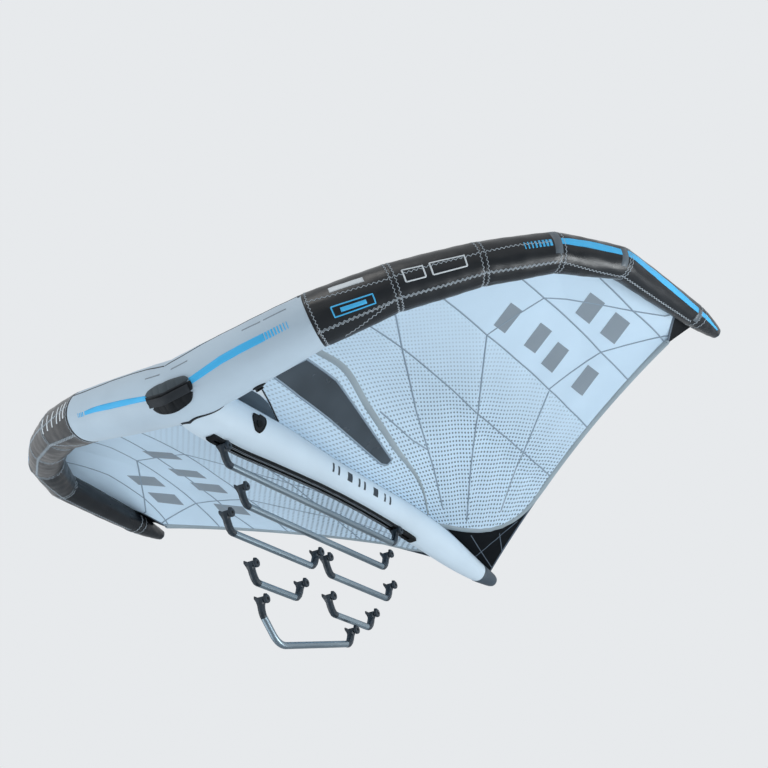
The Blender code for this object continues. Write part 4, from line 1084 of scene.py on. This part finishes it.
rows = [path[:, None] + radius * (np.cos(turn) * arr(1, 0, 0) + np.sin(turn) * over[:, None])
        for radius in (TUBE_RADIUS, TUBE_RADIUS - TUBE_WALL)]
count = len(path) * PIPE_SIDES
rims = []
for start in (0, count - PIPE_SIDES):
    for i in range(PIPE_SIDES):
        a, b = start + i, start + (i + 1) % PIPE_SIDES
        quad = (a, b, b + count, a + count)
        rims.append(quad[::-1] if start == 0 else quad)
mesh_piece("bent_handle_pipe", np.concatenate([r.reshape(-1, 3) for r in rows]),
           grid_faces(len(path), PIPE_SIDES, True, flip=True)
           + grid_faces(len(path), PIPE_SIDES, True, count) + rims, "metal",
           replaces=["bent_handle_tube"], sharp=40)

EAR_PROFILE = ((0.02, 0.0001), (0.02, 0.0158), (0.0262, 0.0162), (0.0282, 0.015),
               (0.029, 0.0125), (0.029, 0.0062), (0.028, 0.0056))
PIN_PROFILE = ((0.0281, 0.0058), (0.0281, 0.0001))


def turned(middle, profile):
    """Rings about an axis along X; the profile gives places on it and radii."""
    return np.array([[middle + arr(x, r * math.cos(a), r * math.sin(a)) for a in circle(28)]
                     for x, r in profile])


spare_ends = [(bent[0], BENT_OUT), (bent[-1], FOOT_OUT)]
for start, end, depth in spare_shares:
    for share, out in ((start, -FOOT_OUT), (end, FOOT_OUT)):
        spare_ends.append((arr(0, BOOM_FRONT + (BOOM_BACK - BOOM_FRONT) * share,
                               -SPARE_DEPTH * depth), out))
for word, ends, body in (("boom", boom_ends, "boom"), ("spare", spare_ends, "wing")):
    for part, profile, look in (("ears", EAR_PROFILE, "post"), ("pins", PIN_PROFILE, "plastic")):
        batch = Batch()
        for end, out in ends:
            rings = turned(end + arr(0, out * POST_HEIGHT + 0.003, 0.9 * POST_HEIGHT), profile)
            batch.add(rings, grid_faces(*rings.shape[:2], True, flip=True))
        batch.piece(f"{word}_post_{part}", look, body=body, sharp=40)


# Finishes of the rigid nodes that stay

def finish(look, *names):
    for name in names:
        for slot in nodes[name].material_slots:
            slot.material = looks[look].material


finish("plastic", "rail_body", "rail_nose", "rail_tail", "rail_rack", "le_valve_base",
       "le_valve_cap", "strut_valve_cap")
finish("nut", "front_t_nut", "rear_t_nut")
finish("metal", *[name for name in nodes
                  if name.endswith("_tube") and name != "bent_handle_tube"])
finish("post", *[name for name in nodes if name.endswith("_post")])


# Floor, light and camera

FLOOR_Z, FLOOR_HALF = -2.62, 30
floor_mesh = bpy.data.meshes.new("floor")
floor_mesh.from_pydata([(x * FLOOR_HALF, y * FLOOR_HALF, FLOOR_Z)
                        for x, y in ((-1, -1), (1, -1), (1, 1), (-1, 1))], [], [(0, 1, 2, 3)])
matt = Shader("pale_floor", 0.8)
matt.colour(matt.blend(matt.mottle(1.5), (0.74, 0.75, 0.76), (0.78, 0.79, 0.8)))
floor_mesh.materials.append(matt.material)
new_object("floor", floor_mesh)

# Soft light from all round; the camera, reflections and glass see a plain pale background
world = bpy.data.worlds.new("studio")
bpy.context.scene.world = world
world.use_nodes = True
tree = world.node_tree
tree.nodes.clear()
output, mix = [tree.nodes.new(kind) for kind in ("ShaderNodeOutputWorld", "ShaderNodeMixShader")]
rays = tree.nodes.new("ShaderNodeLightPath").outputs
seen = rays["Is Camera Ray"]
for name in ("Is Glossy Ray", "Is Transmission Ray"):
    either = tree.nodes.new("ShaderNodeMath")
    either.operation = "MAXIMUM"
    tree.links.new(seen, either.inputs[0])
    tree.links.new(rays[name], either.inputs[1])
    seen = either.outputs[0]
tree.links.new(seen, mix.inputs[0])
for i, colour, strength in ((1, (0.86, 0.93, 1.0, 1.0), 0.54), (2, (0.8, 0.82, 0.84, 1.0), 1.0)):
    sky = tree.nodes.new("ShaderNodeBackground")
    sky.inputs["Color"].default_value = colour
    sky.inputs["Strength"].default_value = strength
    tree.links.new(sky.outputs[0], mix.inputs[i])
tree.links.new(mix.outputs[0], output.inputs["Surface"])


def lamp(name, spot, target, size, power, colour):
    data = bpy.data.lights.new(name, "AREA")
    data.shape, data.size, data.energy, data.color = "DISK", size, power, colour
    obj = new_object(name, data)
    obj.location = Vector(spot)
    obj.rotation_euler = (Vector(target) - Vector(spot)).to_track_quat("-Z", "Y").to_euler()


lamp("key", (1.0, -3.5, 4.2), (0, 0, 0.2), 3.0, 66, (1.0, 0.98, 0.95))
lamp("under", (3.6, 1.4, -2.6), (0.3, 0.6, 0.2), 3.0, 232, (0.94, 0.98, 1.0))
lamp("left", (-3.4, -2.6, -1.8), (-0.8, -0.3, 0.2), 2.0, 60, (0.92, 0.97, 1.0))
lamp("low", (-1.5, -1.3, -2.3), (-0.8, -0.2, 0.2), 2.4, 15, (0.88, 0.95, 1.0))

camera = bpy.data.cameras.new("camera")
camera.lens, camera.sensor_width, camera.clip_end = 65.625, 36.0, 100.0
view = new_object("camera", camera)
right, up, ahead = (0.8386, 0.5347, -0.1046), (0.3281, -0.3422, 0.8805), (-0.435, 0.7727, 0.4624)
view.matrix_world = Matrix.Translation((2.716, -4.1905, -2.1015)) @ Matrix(
    (right, up, [-a for a in ahead])).transposed().to_4x4()
bpy.context.scene.camera = view
bpy.context.scene.view_settings.view_transform = "Standard"
